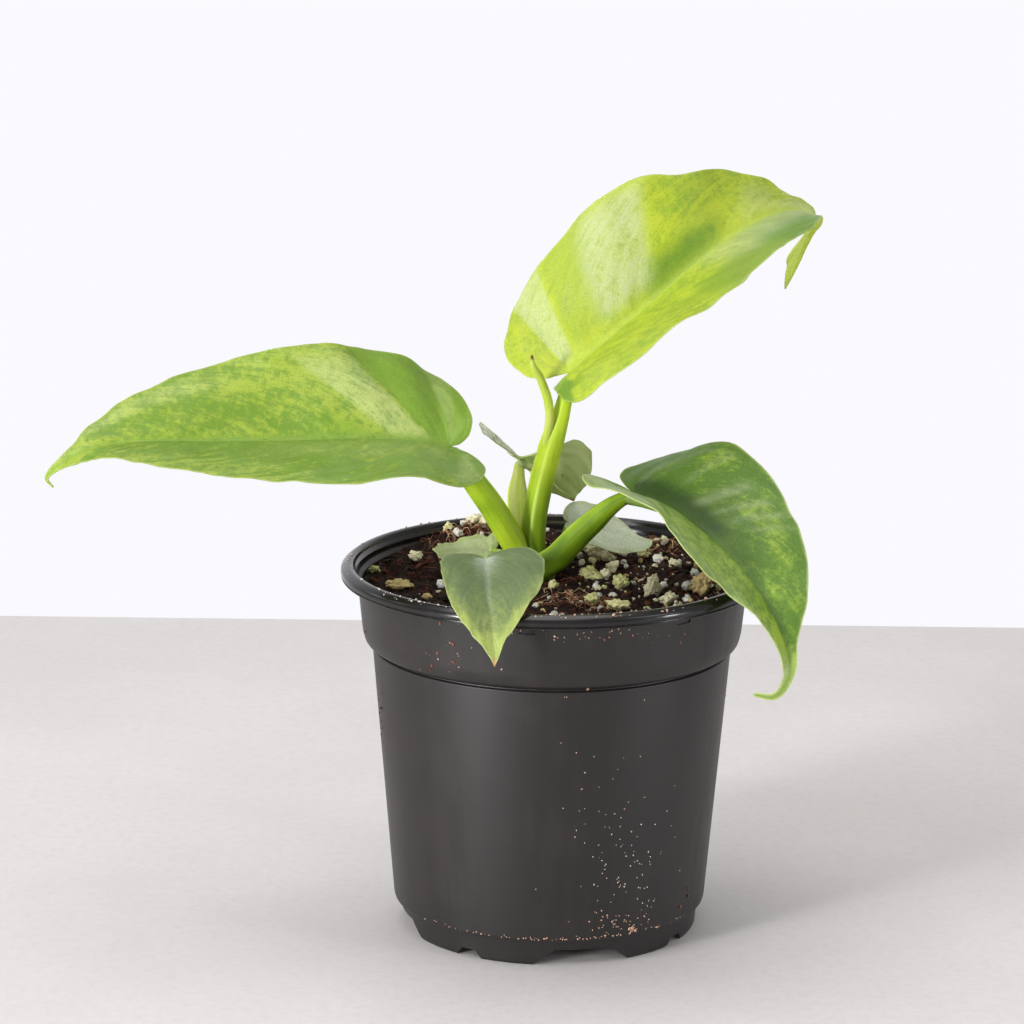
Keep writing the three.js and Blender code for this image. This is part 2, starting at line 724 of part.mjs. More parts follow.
function makeSoil(stems) {
  let soil = soilPlug();
  for (const sizes of STONES) soil = soil.add(stone(...sizes));
  const draw = seededDraws(CRUMBS.seed);
  for (let k = 0; k < CRUMBS.count; k += 1) {
    const around = draw() * FULL_TURN;
    const out = CRUMBS.innerRadius + (CRUMBS.outerRadius - CRUMBS.innerRadius) * Math.sqrt(draw());
    const size = CRUMBS.smallest + (CRUMBS.largest - CRUMBS.smallest) * draw();
    const x = out * Math.cos(around);
    const y = out * Math.sin(around);
    soil = soil.add(stone(x, y, size * CRUMBS.slenderness, size, size, 360 * draw()));
  }
  for (const stem of stems) soil = soil.subtract(stem);
  return soil;
}

function crownSolid(extra) {
  const { x, y, top, widest, bottom, topRadius, widestRadius, bottomRadius, bevel } = CROWN;
  const profile = [
    [0, bottom - extra],
    [bottomRadius + extra, bottom + bevel - extra],
    [widestRadius + extra, widest],
    [topRadius + extra, top - bevel],
    [0, top + extra],
  ];
  let crown = turnedSolid(profile, 14).translate([x, y, 0]);
  for (const root of CROWN.roots) {
    crown = crown.add(solidOf(taperedTube(root, CROWN.rootRadii, { sides: 6, extra, spacing: 9 })));
  }
  return crown;
}

// A blade with its petiole, grown as one piece.
function leafSolid(leaf) {
  return solidOf(taperedTube(leaf.petiole, leaf.radii)).add(solidOf(bladeGeometry(leaf)));
}

function petioleSpace(leaf) {
  return solidOf(taperedTube(leaf.petiole, leaf.radii, { extra: GAP }));
}

function makePlant() {
  const crownSpace = crownSolid(GAP);
  const { path, radii } = ROLLED_LEAF;
  const rolled = (extra) => solidOf(taperedTube(path, radii, { sides: 7, extra, spacing: 4 }));
  const taken = [crownSpace];
  const meshes = [meshOf('crown_and_roots', crownSolid(0), MATERIALS.crown)];
  for (const [name, leaf] of Object.entries(LEAVES)) {
    let solid = leafSolid(leaf);
    for (const space of taken) solid = solid.subtract(space);
    if (name === 'top_leaf') solid = solid.subtract(rolled(GAP));
    const material = new THREE.MeshStandardMaterial({ color: leaf.colour, roughness: 0.45, metalness: 0 });
    meshes.push(meshOf(name, solid, material));
    taken.push(petioleSpace(leaf));
  }
  meshes.push(meshOf('rolled_new_leaf', rolled(0), MATERIALS.rolled));
  return { meshes, stems: taken };
}

const plant = makePlant();
const group = new THREE.Group();
group.add(meshOf('pot', makePot(), MATERIALS.pot));
group.add(meshOf('soil', makeSoil(plant.stems), MATERIALS.soil));
for (const mesh of plant.meshes) group.add(mesh);

export default group;
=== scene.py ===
import math

import bpy
import numpy as np
from mathutils import Matrix, Vector, noise


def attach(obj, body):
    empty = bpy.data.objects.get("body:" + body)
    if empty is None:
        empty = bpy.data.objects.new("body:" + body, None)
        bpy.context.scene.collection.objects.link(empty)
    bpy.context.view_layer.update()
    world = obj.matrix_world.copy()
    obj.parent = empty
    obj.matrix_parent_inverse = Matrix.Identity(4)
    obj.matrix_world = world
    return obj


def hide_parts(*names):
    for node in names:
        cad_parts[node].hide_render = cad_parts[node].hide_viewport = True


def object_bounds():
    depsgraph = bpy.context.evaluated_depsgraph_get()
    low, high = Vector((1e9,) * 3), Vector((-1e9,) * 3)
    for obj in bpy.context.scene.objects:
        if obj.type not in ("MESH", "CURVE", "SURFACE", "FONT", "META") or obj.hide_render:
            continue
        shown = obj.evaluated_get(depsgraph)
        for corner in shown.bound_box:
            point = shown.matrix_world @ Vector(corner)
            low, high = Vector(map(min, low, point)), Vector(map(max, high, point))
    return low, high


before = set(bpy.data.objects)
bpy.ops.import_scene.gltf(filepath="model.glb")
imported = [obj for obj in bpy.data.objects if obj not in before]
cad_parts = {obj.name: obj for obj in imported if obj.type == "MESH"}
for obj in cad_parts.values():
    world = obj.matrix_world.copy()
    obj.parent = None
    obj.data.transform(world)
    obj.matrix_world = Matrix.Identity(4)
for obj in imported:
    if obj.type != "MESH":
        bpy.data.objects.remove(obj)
cad_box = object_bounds()

MM = 0.001


# Numbers along curves


def unit(vectors):
    return vectors / np.linalg.norm(vectors, axis=-1, keepdims=True)


def smooth_through(points, shares):
    """Points of a smooth curve through the given ones, at shares of the way through them."""
    points = np.asarray(points, float)
    before = 2 * points[:1] - points[1:2]
    after = 2 * points[-1:] - points[-2:-1]
    points = np.vstack([before, points, after])
    place = np.clip(shares, 0, 1) * (len(points) - 3)
    index = np.minimum(place.astype(int), len(points) - 4)
    part = (place - index)[:, None]
    a, b, c, d = (points[index + k] for k in range(4))
    return 0.5 * (
        2 * b
        + (c - a) * part
        + (2 * a - 5 * b + 4 * c - d) * part**2
        + (3 * b - a - 3 * c + d) * part**3
    )


def eased(rows, shares):
    """Rows of numbers read at shares of the way through them, smoothly and without overshoot."""
    rows = np.asarray(rows, float)
    if rows.ndim == 1:
        rows = rows[:, None]
    step = np.diff(rows, axis=0)
    product = step[:-1] * step[1:]
    total = np.where(product > 0, step[:-1] + step[1:], 1)
    inner = np.where(product > 0, 2 * product / total, 0)
    slope = np.vstack([step[:1], inner, step[-1:]])
    place = np.clip(shares, 0, 1) * (len(rows) - 1)
    index = np.minimum(place.astype(int), len(rows) - 2)
    part = (place - index)[:, None]
    return (
        rows[index] * (1 + 2 * part) * (1 - part) ** 2
        + slope[index] * part * (1 - part) ** 2
        + rows[index + 1] * part**2 * (3 - 2 * part)
        + slope[index + 1] * part**2 * (part - 1)
    )


def step_up(values, middle, softness):
    """0 below middle and 1 above it, with a smooth rise as wide as softness."""
    part = np.clip((values - middle) / max(softness, 1e-6) + 0.5, 0, 1)
    return part * part * (3 - 2 * part)


def carried(up, along):
    """An up vector carried along a line, square to each of its directions and without twisting."""
    ups = []
    for heading in along:
        up = up - np.dot(up, heading) * heading
        up = up / np.linalg.norm(up)
        ups.append(up)
    return np.array(ups)


def steps_of(points):
    """How far along a line each of its points lies."""
    return np.concatenate([[0], np.cumsum(np.linalg.norm(np.diff(points, axis=0), axis=1))])


def around(sides):
    """Turns of the points of a ring."""
    return np.arange(sides) / sides * math.tau


def noise_at(places):
    return np.array([noise.noise(Vector(place)) for place in places])


class Spine:
    """A smooth curve read by its length, with a side that stays up along it without twisting."""

    def __init__(self, points, facing, samples=240):
        self.points = smooth_through(points, np.linspace(0, 1, samples))
        self.run = steps_of(self.points)
        self.length = self.run[-1]
        self.along = unit(np.gradient(self.points, axis=0))
        self.up = carried(facing, self.along)

    def read(self, values, shares):
        places = np.clip(shares, 0, 1) * self.length
        return np.stack([np.interp(places, self.run, values[:, k]) for k in range(3)], -1)

    def at(self, shares):
        """Points, directions and up vectors at shares of the length."""
        along = unit(self.read(self.along, shares))
        up = self.read(self.up, shares)
        up = unit(up - (up * along).sum(-1, keepdims=True) * along)
        return self.read(self.points, shares), along, up


# Meshes


def add_object(name, points, faces, finishes=()):
    """A mesh object from points in millimetres."""
    mesh = bpy.data.meshes.new(name)
    mesh.from_pydata((np.asarray(points) * MM).tolist(), [], faces)
    for finish in finishes:
        mesh.materials.append(finish)
    return show(name, mesh)


def show(name, data):
    """An object of the scene that holds the given mesh, light or camera."""
    thing = bpy.data.objects.new(name, data)
    bpy.context.scene.collection.objects.link(thing)
    return thing


def add_piece(name, points, faces, finishes, nodes, marks=None, finish_of_face=None):
    """A piece of the visual model. marks are its named values, one for each point."""
    piece = add_object(name, points, faces, finishes)
    mesh = piece.data
    for title, values in (marks or {}).items():
        values = np.asarray(values, np.float32)
        if values.ndim == 1:
            mesh.attributes.new(title, "FLOAT", "POINT").data.foreach_set("value", values)
        else:
            mesh.attributes.new(title, "FLOAT_VECTOR", "POINT").data.foreach_set("vector", values.ravel())
    if finish_of_face is not None:
        mesh.polygons.foreach_set("material_index", np.asarray(finish_of_face, np.int32))
    mesh.validate()
    mesh.update()
    mesh.shade_smooth()
    declare(piece, nodes)


def declare(piece, nodes):
    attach(piece, "root")
    if nodes:
        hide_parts(*nodes)


class Heap:
    """Points, faces and marks of several bodies that make one piece. A mark left out of one is 0."""

    def __init__(self):
        self.points = []
        self.faces = []
        self.marks = []
        self.count = 0

    def add(self, points, faces, **marks):
        self.faces += [tuple(corner + self.count for corner in face) for face in faces]
        self.points.append(points)
        self.marks.append(marks)
        self.count += len(points)

    def mark(self, title):
        spread = []
        for points, marks in zip(self.points, self.marks):
            value = np.asarray(marks.get(title, 0.0), float)
            shape = (len(points), 3) if value.shape[-1:] == (3,) else (len(points),)
            spread.append(np.broadcast_to(value, shape))
        return np.concatenate(spread)

    def piece(self, name, finishes, nodes, slot, finish_of_face=None):
        marks = {title: self.mark(title) for title in dict.fromkeys(t for m in self.marks for t in m)}
        points = np.clip(np.vstack(self.points), *(np.array(corner) / MM for corner in cad_box))
        add_piece(name, points, self.faces, finishes, nodes, marks, finish_of_face)


def ring_faces(rings, sides):
    """Faces of rings of points in a row, and of the two end points that come after them."""
    faces = []
    for ring in range(rings - 1):
        for k in range(sides):
            a = ring * sides + k
            b = ring * sides + (k + 1) % sides
            faces.append((a, a + sides, b + sides, b))
    start, end = rings * sides, rings * sides + 1
    last = (rings - 1) * sides
    for k in range(sides):
        after = (k + 1) % sides
        faces.append((start, k, after))
        faces.append((end, last + after, last + k))
    return faces


def tube(points, along, up, radii, outline):
    """Rings round a line of points. outline gives a ring's shape for each place: (rings, sides)."""
    side = np.cross(up, along)
    rings, sides = outline.shape
    turn = around(sides)
    reach = radii[:, None] * outline
    rim = (
        points[:, None]
        + (reach * np.cos(turn))[..., None] * up[:, None]
        + (reach * np.sin(turn))[..., None] * side[:, None]
    )
    verts = np.vstack([rim.reshape(-1, 3), points[:1], points[-1:]])
    return verts, [face[:1] + face[:0:-1] for face in ring_faces(rings, sides)]


def icosphere(subdivisions):
    """Points and faces of a unit ball."""
    golden = (1 + 5**0.5) / 2
    points = []
    for a in (-1, 1):
        for b in (-golden, golden):
            points += [(a, b, 0), (0, a, b), (b, 0, a)]
    points = [Vector(point).normalized() for point in points]
    edge = min((points[0] - other).length for other in points[1:]) * 1.05
    near = [[(a - b).length < edge for b in points] for a in points]
    faces = []
    for a in range(12):
        for b in range(a + 1, 12):
            for c in range(b + 1, 12):
                if near[a][b] and near[b][c] and near[a][c]:
                    outward = (points[b] - points[a]).cross(points[c] - points[a]).dot(points[a]) > 0
                    faces.append((a, b, c) if outward else (a, c, b))
    for _ in range(subdivisions):
        halves = {}

        def half(a, b):
            key = (min(a, b), max(a, b))
            if key not in halves:
                halves[key] = len(points)
                points.append((points[a] + points[b]).normalized())
            return halves[key]

        split = []
        for a, b, c in faces:
            ab, bc, ca = half(a, b), half(b, c), half(c, a)
            split += [(a, ab, ca), (b, bc, ab), (c, ca, bc), (ab, bc, ca)]
        faces = split
    return np.array([tuple(point) for point in points]), faces


BALLS = [icosphere(k) for k in range(4)]


# Finishes


def shade(red, green, blue):
    """A colour given as it looks on a screen, from 0 to 255, as the shader wants it."""
    tones = [value / 255 for value in (red, green, blue)]
    linear = [tone / 12.92 if tone < 0.04045 else ((tone + 0.055) / 1.055) ** 2.4 for tone in tones]
    return (*linear, 1.0)


class Value:
    """A socket of a finish. Arithmetic on it adds Math nodes."""

    def __init__(self, finish, socket):
        self.finish = finish
        self.socket = socket

    def math(self, operation, first, second=0.0):
        return self.finish.node("ShaderNodeMath", {"operation": operation}, {0: first, 1: second})

    def __add__(self, other):
        return self.math("ADD", self, other)

    def __sub__(self, other):
        return self.math("SUBTRACT", self, other)

    def __rsub__(self, other):
        return self.math("SUBTRACT", other, self)

    def __mul__(self, other):
        return self.math("MULTIPLY", self, other)

    __radd__ = __add__
    __rmul__ = __mul__


class Finish:
    """The nodes of a material, or of the world, built up in code."""

    def __init__(self, name, owner=None):
        self.material = owner or bpy.data.materials.new(name)
        self.material.use_nodes = True
        self.nodes = self.material.node_tree.nodes

    def put(self, socket, value):
        if isinstance(value, Value):
            self.material.node_tree.links.new(value.socket, socket)
        else:
            socket.default_value = value

    def node(self, kind, settings, sockets, output=0):
        """Adds a node: its settings first, then values or links for its sockets."""
        node = self.nodes.new(kind)
        for title, setting in settings.items():
            setattr(node, title, setting)
        for title, value in sockets.items():
            self.put(node.inputs[title], value)
        return Value(self, node.outputs[output])

    def mark(self, title, output="Fac"):
        return self.node("ShaderNodeAttribute", {"attribute_name": title}, {}, output)

    def place(self):
        """Where a point is, in millimetres."""
        here = self.node("ShaderNodeTexCoord", {}, {}, "Object")
        return self.stretch(here, (1 / MM, 1 / MM, 1 / MM))

    def stretch(self, vector, factors):
        return self.node("ShaderNodeVectorMath", {"operation": "MULTIPLY"}, {0: vector, 1: factors})

    def cloud(self, vector, scale, detail=3.0, roughness=0.5):
        sockets = {"Vector": vector, "Scale": scale, "Detail": detail, "Roughness": roughness}
        return self.node("ShaderNodeTexNoise", {}, sockets)

    def cells(self, vector, scale, output="Distance"):
        return self.node("ShaderNodeTexVoronoi", {}, {"Vector": vector, "Scale": scale}, output)

    def rise(self, value, low, high):
        """0 at low and 1 at high, smoothly."""
        sockets = {"Value": value, "From Min": low, "From Max": high}
        return self.node("ShaderNodeMapRange", {"interpolation_type": "SMOOTHSTEP"}, sockets)

    def blend(self, share, first, second):
        """The first colour where share is 0, and the second where it is 1."""
        return self.node("ShaderNodeMix", {"data_type": "RGBA"}, {0: share, 6: first, 7: second}, 2)

    def layers(self, colour, *coats):
        """A colour with others laid over it, one by one, each with its share."""
        for share, coat in coats:
            colour = self.blend(share, colour, coat)
        return colour

    def bump(self, height, distance, strength=1.0):
        sockets = {"Height": height, "Distance": distance * MM, "Strength": strength}
        return self.node("ShaderNodeBump", {}, sockets)

    def done(self, **sockets):
        for title, value in sockets.items():
            self.put(self.nodes["Principled BSDF"].inputs[title.replace("_", " ")], value)
        return self.material


def leaf_finish(name, colours, roughness, marbling, subsurface, rib_strength, margin_strength):
    """A leaf blade. colours are its green, lime, deep, pale, under, rib, margin, dry and grain."""
    finish = Finish(name)
    tones = {title: shade(*colour) for title, colour in colours.items()}
    chart = finish.mark("vein_chart", "Vector")
    place = finish.place()
    breadth = finish.mark("breadth")
    streaks = (finish.cloud(finish.stretch(chart, (0.85, 0.09, 1.0)), 1.0, 5.0, 0.62) - 0.5) * breadth
    hairs = (finish.cloud(finish.stretch(chart, (3.2, 0.5, 1.0)), 1.0, 3.0, 0.6) - 0.5) * breadth
    drifts = (finish.cloud(finish.stretch(chart, (0.24, 0.12, 1.0)), 1.0, 5.0, 0.65) - 0.5) * breadth
    mottles = finish.cloud(place, 0.7, 6.0, 0.7) - 0.5
    flecks = finish.cloud(place, 0.2, 6.0, 0.68) - 0.5
    grain = finish.cloud(place, 2.4, 4.0, 0.7)
    unrest = streaks * 0.8 + drifts * 1.3 + flecks * 2.0 + mottles * 1.8 + hairs * 0.9
    lime = finish.rise(finish.mark("lime") + unrest * marbling, 0.12, 0.88)
    # The darker green mark is partly the leaf's own dark variegation and partly painted shade, in the
    # grooves along midribs and on lobes that lie in shadow.
    depth = finish.mark("deep") + streaks * 0.25 + mottles * 0.7 + flecks * 0.6 + hairs * 0.15
    # The whitish mark below is partly whitish variegation and partly painted sheen: streaks and patches that
    # stand in for the window's reflection on the blade.
    veil = streaks * 1.0 + hairs * 0.8 + mottles * 0.7 + flecks * 0.6 + drifts * 0.5 + 0.42
    pale = finish.mark("pale") * finish.rise(veil, -0.15, 0.75)
    # On the top and back leaves the underside colour is lighter than the real underside: painted light.
    under = finish.mark("under") * (0.85 - finish.rise(finish.mark("deep"), 0.5, 1.0) * 0.75)
    veins = finish.mark("veins") * finish.rise(streaks + hairs, -0.1, 0.14)
    specks = finish.rise(finish.cells(place, 0.16) * -1.0, -0.075, -0.03)
    freckles = finish.rise(grain, 0.48, 0.7) * (0.42 - finish.mark("under") * 0.27)
    colour = finish.layers(
        finish.blend(lime, tones["green"], tones["lime"]),
        (finish.rise(depth, 0.15, 0.95), tones["deep"]),
        (pale, tones["pale"]),
        (finish.mark("rib") * rib_strength, tones["rib"]),
        (under, tones["under"]),
        (veins * 0.16, tones["rib"]),
        (finish.mark("margin") * margin_strength, tones["margin"]),
        (finish.mark("dry"), tones["dry"]),
        (specks * finish.mark("specks"), tones["dry"]),
        (freckles, tones["grain"]),
        (finish.rise(grain * -1.0, -0.46, -0.3) * 0.16, tones["pale"]),
    )
    height = hairs * 0.15 + streaks * 0.25 + (mottles * 0.6 + grain * 0.5) * breadth - veins * 0.3
    rough = roughness + streaks * 0.16 + mottles * 0.12 + pale * 0.06
    return finish.done(
        Base_Color=colour,
        Roughness=rough,
        Normal=finish.bump(height, 0.16, 0.8),
        Subsurface_Weight=subsurface,
        Subsurface_Radius=(0.9, 1.0, 0.25),
        Subsurface_Scale=0.8 * MM,
        Specular_IOR_Level=0.4,
    )


def stalk_finish(name, lime, green, edge, base):
    """A petiole: lime with long green shades, and paler edges on its channel."""
    finish = Finish(name)
    lime, green, edge, base = (shade(*colour) for colour in (lime, green, edge, base))
    chart = finish.mark("vein_chart", "Vector")
    shades = finish.cloud(finish.stretch(chart, (0.9, 0.055, 1.0)), 1.0, 3.0, 0.55)
    lines = finish.cloud(finish.stretch(chart, (4.0, 0.08, 1.0)), 1.0, 3.0, 0.6)
    soft = finish.cloud(finish.place(), 0.12, 3.0, 0.5)
    depth = finish.rise(shades * 0.7 + soft * 0.8 + (lines - 0.5) * 0.12, 0.6, 0.95)
    coats = (depth, green), (finish.mark("foot"), base), (finish.mark("ridge"), edge)
    colour = finish.layers(lime, *coats, (finish.mark("dry"), shade(96, 66, 38)))
    return finish.done(
        Base_Color=colour,
        Roughness=0.6 + (lines - 0.5) * 0.2,
        Normal=finish.bump(lines + shades * 0.5 + soft, 0.12, 0.5),
        Subsurface_Weight=0.25,
        Subsurface_Radius=(0.9, 1.0, 0.25),
        Subsurface_Scale=2.0 * MM,
        Specular_IOR_Level=0.28,
    )


def pot_finish():
    """Black moulded plastic, glossier on the lip and painted darker there as shade, with fine dust and rub
    marks.
    """
    finish = Finish("moulded_black_plastic")
    place = finish.place()
    haze = finish.cloud(place, 0.045, 4.0, 0.6)
    grain = finish.cloud(place, 1.2, 2.0, 0.5)
    rubs = finish.cloud(finish.stretch(place, (0.5, 0.5, 0.04)), 0.5, 4.0, 0.65)
    dust = finish.rise(haze * 0.6 + rubs * 0.5, 0.5, 0.75)
    specks = finish.rise(finish.cells(place, 0.4) * -1.0, -0.06, -0.02)
    lip = finish.rise(finish.node("ShaderNodeSeparateXYZ", {}, {0: place}, 2), 93.2, 94.2)
    # The lip's darker colour is painted shade: it stands in for the dark room that the glossy lip reflects.
    coats = (dust * 0.4, shade(44, 38, 37)), (lip * 0.7, shade(13, 12, 12))
    colour = finish.layers(shade(24, 20, 20), *coats, (specks * dust * 0.6, shade(150, 130, 115)))
    return finish.done(
        Base_Color=colour,
        Roughness=0.44 - lip * 0.27 + dust * 0.1,
        Normal=finish.bump(grain * (0.3 - lip * 0.25) + haze, 0.04, 0.4),
    )


def mix_finish():
    """The fine part of the potting mix: dark peat and coir dust."""
    finish = Finish("peat_and_coir")
    place = finish.place()
    lumps = finish.cloud(place, 0.5, 6.0, 0.65)
    crumbs = finish.cells(place, 0.9)
    warm = finish.rise(finish.cloud(place, 0.22, 4.0, 0.6), 0.5, 0.7)
    crumbs_show = finish.rise(crumbs * -1.0, -0.14, -0.03) * 0.25
    coats = (lumps, shade(54, 34, 28)), (warm * 0.45, shade(88, 44, 30)), (crumbs_show, shade(120, 84, 60))
    colour = finish.layers(shade(12, 8, 7), *coats)
    return finish.done(
        Base_Color=colour,
        Roughness=0.93,
        Normal=finish.bump(lumps + crumbs * 0.6, 0.9, 1.0),
        Specular_IOR_Level=0.25,
    )


def grain_finish(name, roughness, pits, relief):
    """Loose bits whose colour is a mark on the mesh, with pits and a little dirt."""
    finish = Finish(name)
    place = finish.place()
    rough = finish.cloud(place, 1.6, 5.0, 0.65)
    holes = finish.rise(finish.cells(place, 1.5) * -1.0, -0.28, -0.06)
    dirt = finish.rise(finish.cloud(place, 0.6, 4.0, 0.6), 0.5, 0.72)
    coats = (holes * pits * 0.8, shade(140, 124, 78)), (dirt * pits * 0.75, shade(104, 72, 48))
    colour = finish.layers(finish.mark("tone", "Color"), *coats)
    return finish.done(
        Base_Color=colour,
        Roughness=roughness,
        Normal=finish.bump(rough - holes * 0.5, relief, 0.9),
        Specular_IOR_Level=0.3,
    )


# Camera, light and floor

LENS = 140.6
SENSOR = 36.0
CAMERA_PLACE = (0.0, -1010.4, 354.1)
CAMERA_YAW, CAMERA_PITCH, CAMERA_ROLL = -0.607, 13.559, 0.513
FLOOR_FAR, FLOOR_NEAR, FLOOR_SIDE = 299.0, -2600.0, 2600.0


def add_camera():
    camera = show("camera", bpy.data.cameras.new("camera"))
    camera.data.lens = LENS
    camera.data.sensor_width = SENSOR
    camera.data.clip_start = 0.05
    camera.data.clip_end = 20
    turn = Matrix.Rotation(math.radians(-CAMERA_YAW), 4, "Z")
    tilt = Matrix.Rotation(math.radians(90 - CAMERA_PITCH), 4, "X")
    roll = Matrix.Rotation(math.radians(CAMERA_ROLL), 4, "Z")
    camera.matrix_world = Matrix.Translation(Vector(CAMERA_PLACE) * MM) @ turn @ tilt @ roll
    bpy.context.scene.camera = camera


# Name, place, height of what it is aimed at, width, height, watts and colour of each light.
LIGHTS = [
    ("window", (-795, -768, 190), 70, 180, 370, 11.5, (1, 1, 1)),
    ("ceiling", (-150, 150, 1400), 60, 900, 900, 6.8, (1, 0.99, 0.97)),
    ("high_window", (-820, -720, 1080), 90, 420, 420, 5.5, (1, 1, 1)),
    ("side_window", (980, -470, 190), 70, 110, 370, 3.2, (1, 1, 1)),
    ("right_skylight", (700, -250, 900), 90, 420, 420, 1.1, (1, 1, 1)),
    ("left_skylight", (-900, 330, 640), 90, 420, 420, 1.0, (1, 1, 1)),
]
# The room's light from the viewer's side and from behind the plant, and where it turns over.
ROOM_FRONT, ROOM_BACK, ROOM_TURN = (0.415, 0.41, 0.415, 1), (0.955, 0.955, 0.99, 1), (0.4, 0.92)


def add_light(name, place, target_height, width, height, watts, colour):
    data = bpy.data.lights.new(name, "AREA")
    data.shape = "RECTANGLE"
    data.size = width * MM
    data.size_y = height * MM
    data.energy = watts
    data.color = colour
    light = show(name, data)
    light.location = Vector(place) * MM
    away = Vector((0, 0, target_height)) - Vector(place)
    light.rotation_euler = away.to_track_quat("-Z", "Y").to_euler()


def add_floor():
    finish = Finish("pale_table")
    place = finish.place()
    clouds = finish.cloud(place, 0.006, 5.0, 0.6)
    grain = finish.cloud(place, 0.35, 5.0, 0.7)
    drift, specks = finish.rise(clouds, 0.35, 0.7), finish.rise(grain, 0.4, 0.75) * 0.25
    coats = (drift, shade(217, 213, 212)), (specks, shade(182, 178, 174))
    colour = finish.layers(shade(208, 204, 203), *coats)
    material = finish.done(Base_Color=colour, Roughness=0.7, Normal=finish.bump(grain, 0.1, 0.4))
    corners = [
        (-FLOOR_SIDE, FLOOR_NEAR, 0),
        (FLOOR_SIDE, FLOOR_NEAR, 0),
        (FLOOR_SIDE, FLOOR_FAR, 0),
        (-FLOOR_SIDE, FLOOR_FAR, 0),
    ]
    add_object("table", corners, [(0, 1, 2, 3)], [material])


def light_room():
    """A bright room: white behind the plant, a little dimmer on the viewer's side."""
    world = bpy.data.worlds.new("room")
    bpy.context.scene.world = world
    room = Finish("room", world)
    way = room.node("ShaderNodeTexCoord", {}, {}, "Generated")
    depth = room.node("ShaderNodeSeparateXYZ", {}, {0: way}, "Y")
    colour = room.blend(room.rise(depth, *ROOM_TURN), ROOM_FRONT, ROOM_BACK)
    room.put(room.nodes["Background"].inputs["Color"], colour)
    for light in LIGHTS:
        add_light(*light)
    bpy.context.scene.view_settings.view_transform = "Standard"


# The pot

# Radius, height and fillet of each corner, from the middle of the floor up the inside, over the rim and
# down the outside to the foot.
POT_PROFILE = [
    (0, 4.2, 0), (37.4, 4.2, 0.8), (37.4, 8.1, 0.3), (39.8, 8.7, 0.5), (45.7, 76.2, 1), (47.7, 79.1, 0.6),
    (48.2, 80.3, 0.6), (49.7, 92.4, 0.3), (50.7, 93.4, 0.25), (50.9, 94.9, 0.3), (51.7, 95.7, 0.3),
    (52, 96.9, 0.5), (53.4, 97.25, 1), (55.2, 95.9, 1.2), (55.2, 94.5, 0.15), (54.8, 94.3, 0.1),
    (54.85, 94.05, 0.1), (55.1, 94, 0.08), (55.05, 93.7, 0.12), (51.15, 93.75, 0.4), (50.85, 92.9, 0.3),
    (49.5, 79.6, 1.6), (48.7, 76.9, 1.2), (46.9, 76.2, 0.4), (46.2, 75.8, 0.12), (46.25, 75.5, 0.1),
    (46.88, 75.2, 0.2), (41.1, 7.7, 0.4), (40.8, 6.9, 0.25), (39.4, 6.8, 0.25), (38.8, 0.5, 0.5),
    (38.3, 0, 0.1), (37.4, 0, 0.1), (37.4, 3, 0.3), (6, 3, 0.3), (6, 0, 0.1), (0, 0, 0),
]
POT_SIDES = 192

FOOT_MIDDLE = 13
FOOT_CUTS = [
    # turn, angle at the bottom, angle at the top, lowest, highest, inner radius, outer radius
    (0, 39, 22, -1, 4.3, 36.4, 42),
    (45, 11.5, 6, -1, 2.3, 36.4, 42),
    (0, 20, 20, -1, 5.9, 31, 37.2),
]
# Shallow marks that the mould leaves on the collar, just under the lip.
COLLAR_MARKS = [(-7, 4.5), (41, 5), (132, 4), (222, 4)]


def rounded(corners, arc=5):
    """A profile whose corners (radius, height, fillet) are rounded off."""
    profile = []
    for k, (radius, height, fillet) in enumerate(corners):
        here = np.array([radius, height], float)
        if fillet == 0:
            profile.append(here)
            continue
        before = np.array(corners[k - 1][:2], float) - here
        after = np.array(corners[k + 1][:2], float) - here
        reach = min(fillet, np.linalg.norm(before) * 0.45, np.linalg.norm(after) * 0.45)
        start = here + before / np.linalg.norm(before) * reach
        end = here + after / np.linalg.norm(after) * reach
        for share in np.linspace(0, 1, arc):
            profile.append((1 - share) ** 2 * start + 2 * share * (1 - share) * here + share**2 * end)
    return np.array(profile)


def turned(profile, sides):
    """A solid turned round the Z axis from a profile that starts and ends on the axis."""
    turn = around(sides)
    inner = profile[1:-1]
    radii = inner[:, :1]
    rings = np.stack([radii * np.sin(turn), -radii * np.cos(turn), np.repeat(inner[:, 1:], sides, 1)], -1)
    ends = [[0, 0, profile[0][1]], [0, 0, profile[-1][1]]]
    return np.vstack([rings.reshape(-1, 3), ends]), ring_faces(len(inner), sides)


def ring_sector(middle, low_angle, high_angle, low, high, inner, outer, steps=10):
    """A block between two radii that may narrow towards its top."""
    points = []
    for height, angle in ((low, low_angle), (high, high_angle)):
        for radius in (inner, outer):
            for step in range(steps + 1):
                turn = math.radians(middle + angle * (step / steps - 0.5))
                points.append((radius * math.sin(turn), -radius * math.cos(turn), height))
    row = steps + 1
    a, b, c, d = 0, row, 2 * row, 3 * row
    faces = []
    for k in range(steps):
        faces.append((a + k, a + k + 1, b + k + 1, b + k))
        faces.append((c + k, d + k, d + k + 1, c + k + 1))
        faces.append((b + k, b + k + 1, d + k + 1, d + k))
        faces.append((a + k, c + k, c + k + 1, a + k + 1))
    faces.append((a, b, d, c))
    faces.append((a + steps, c + steps, d + steps, b + steps))
    return np.array(points), faces


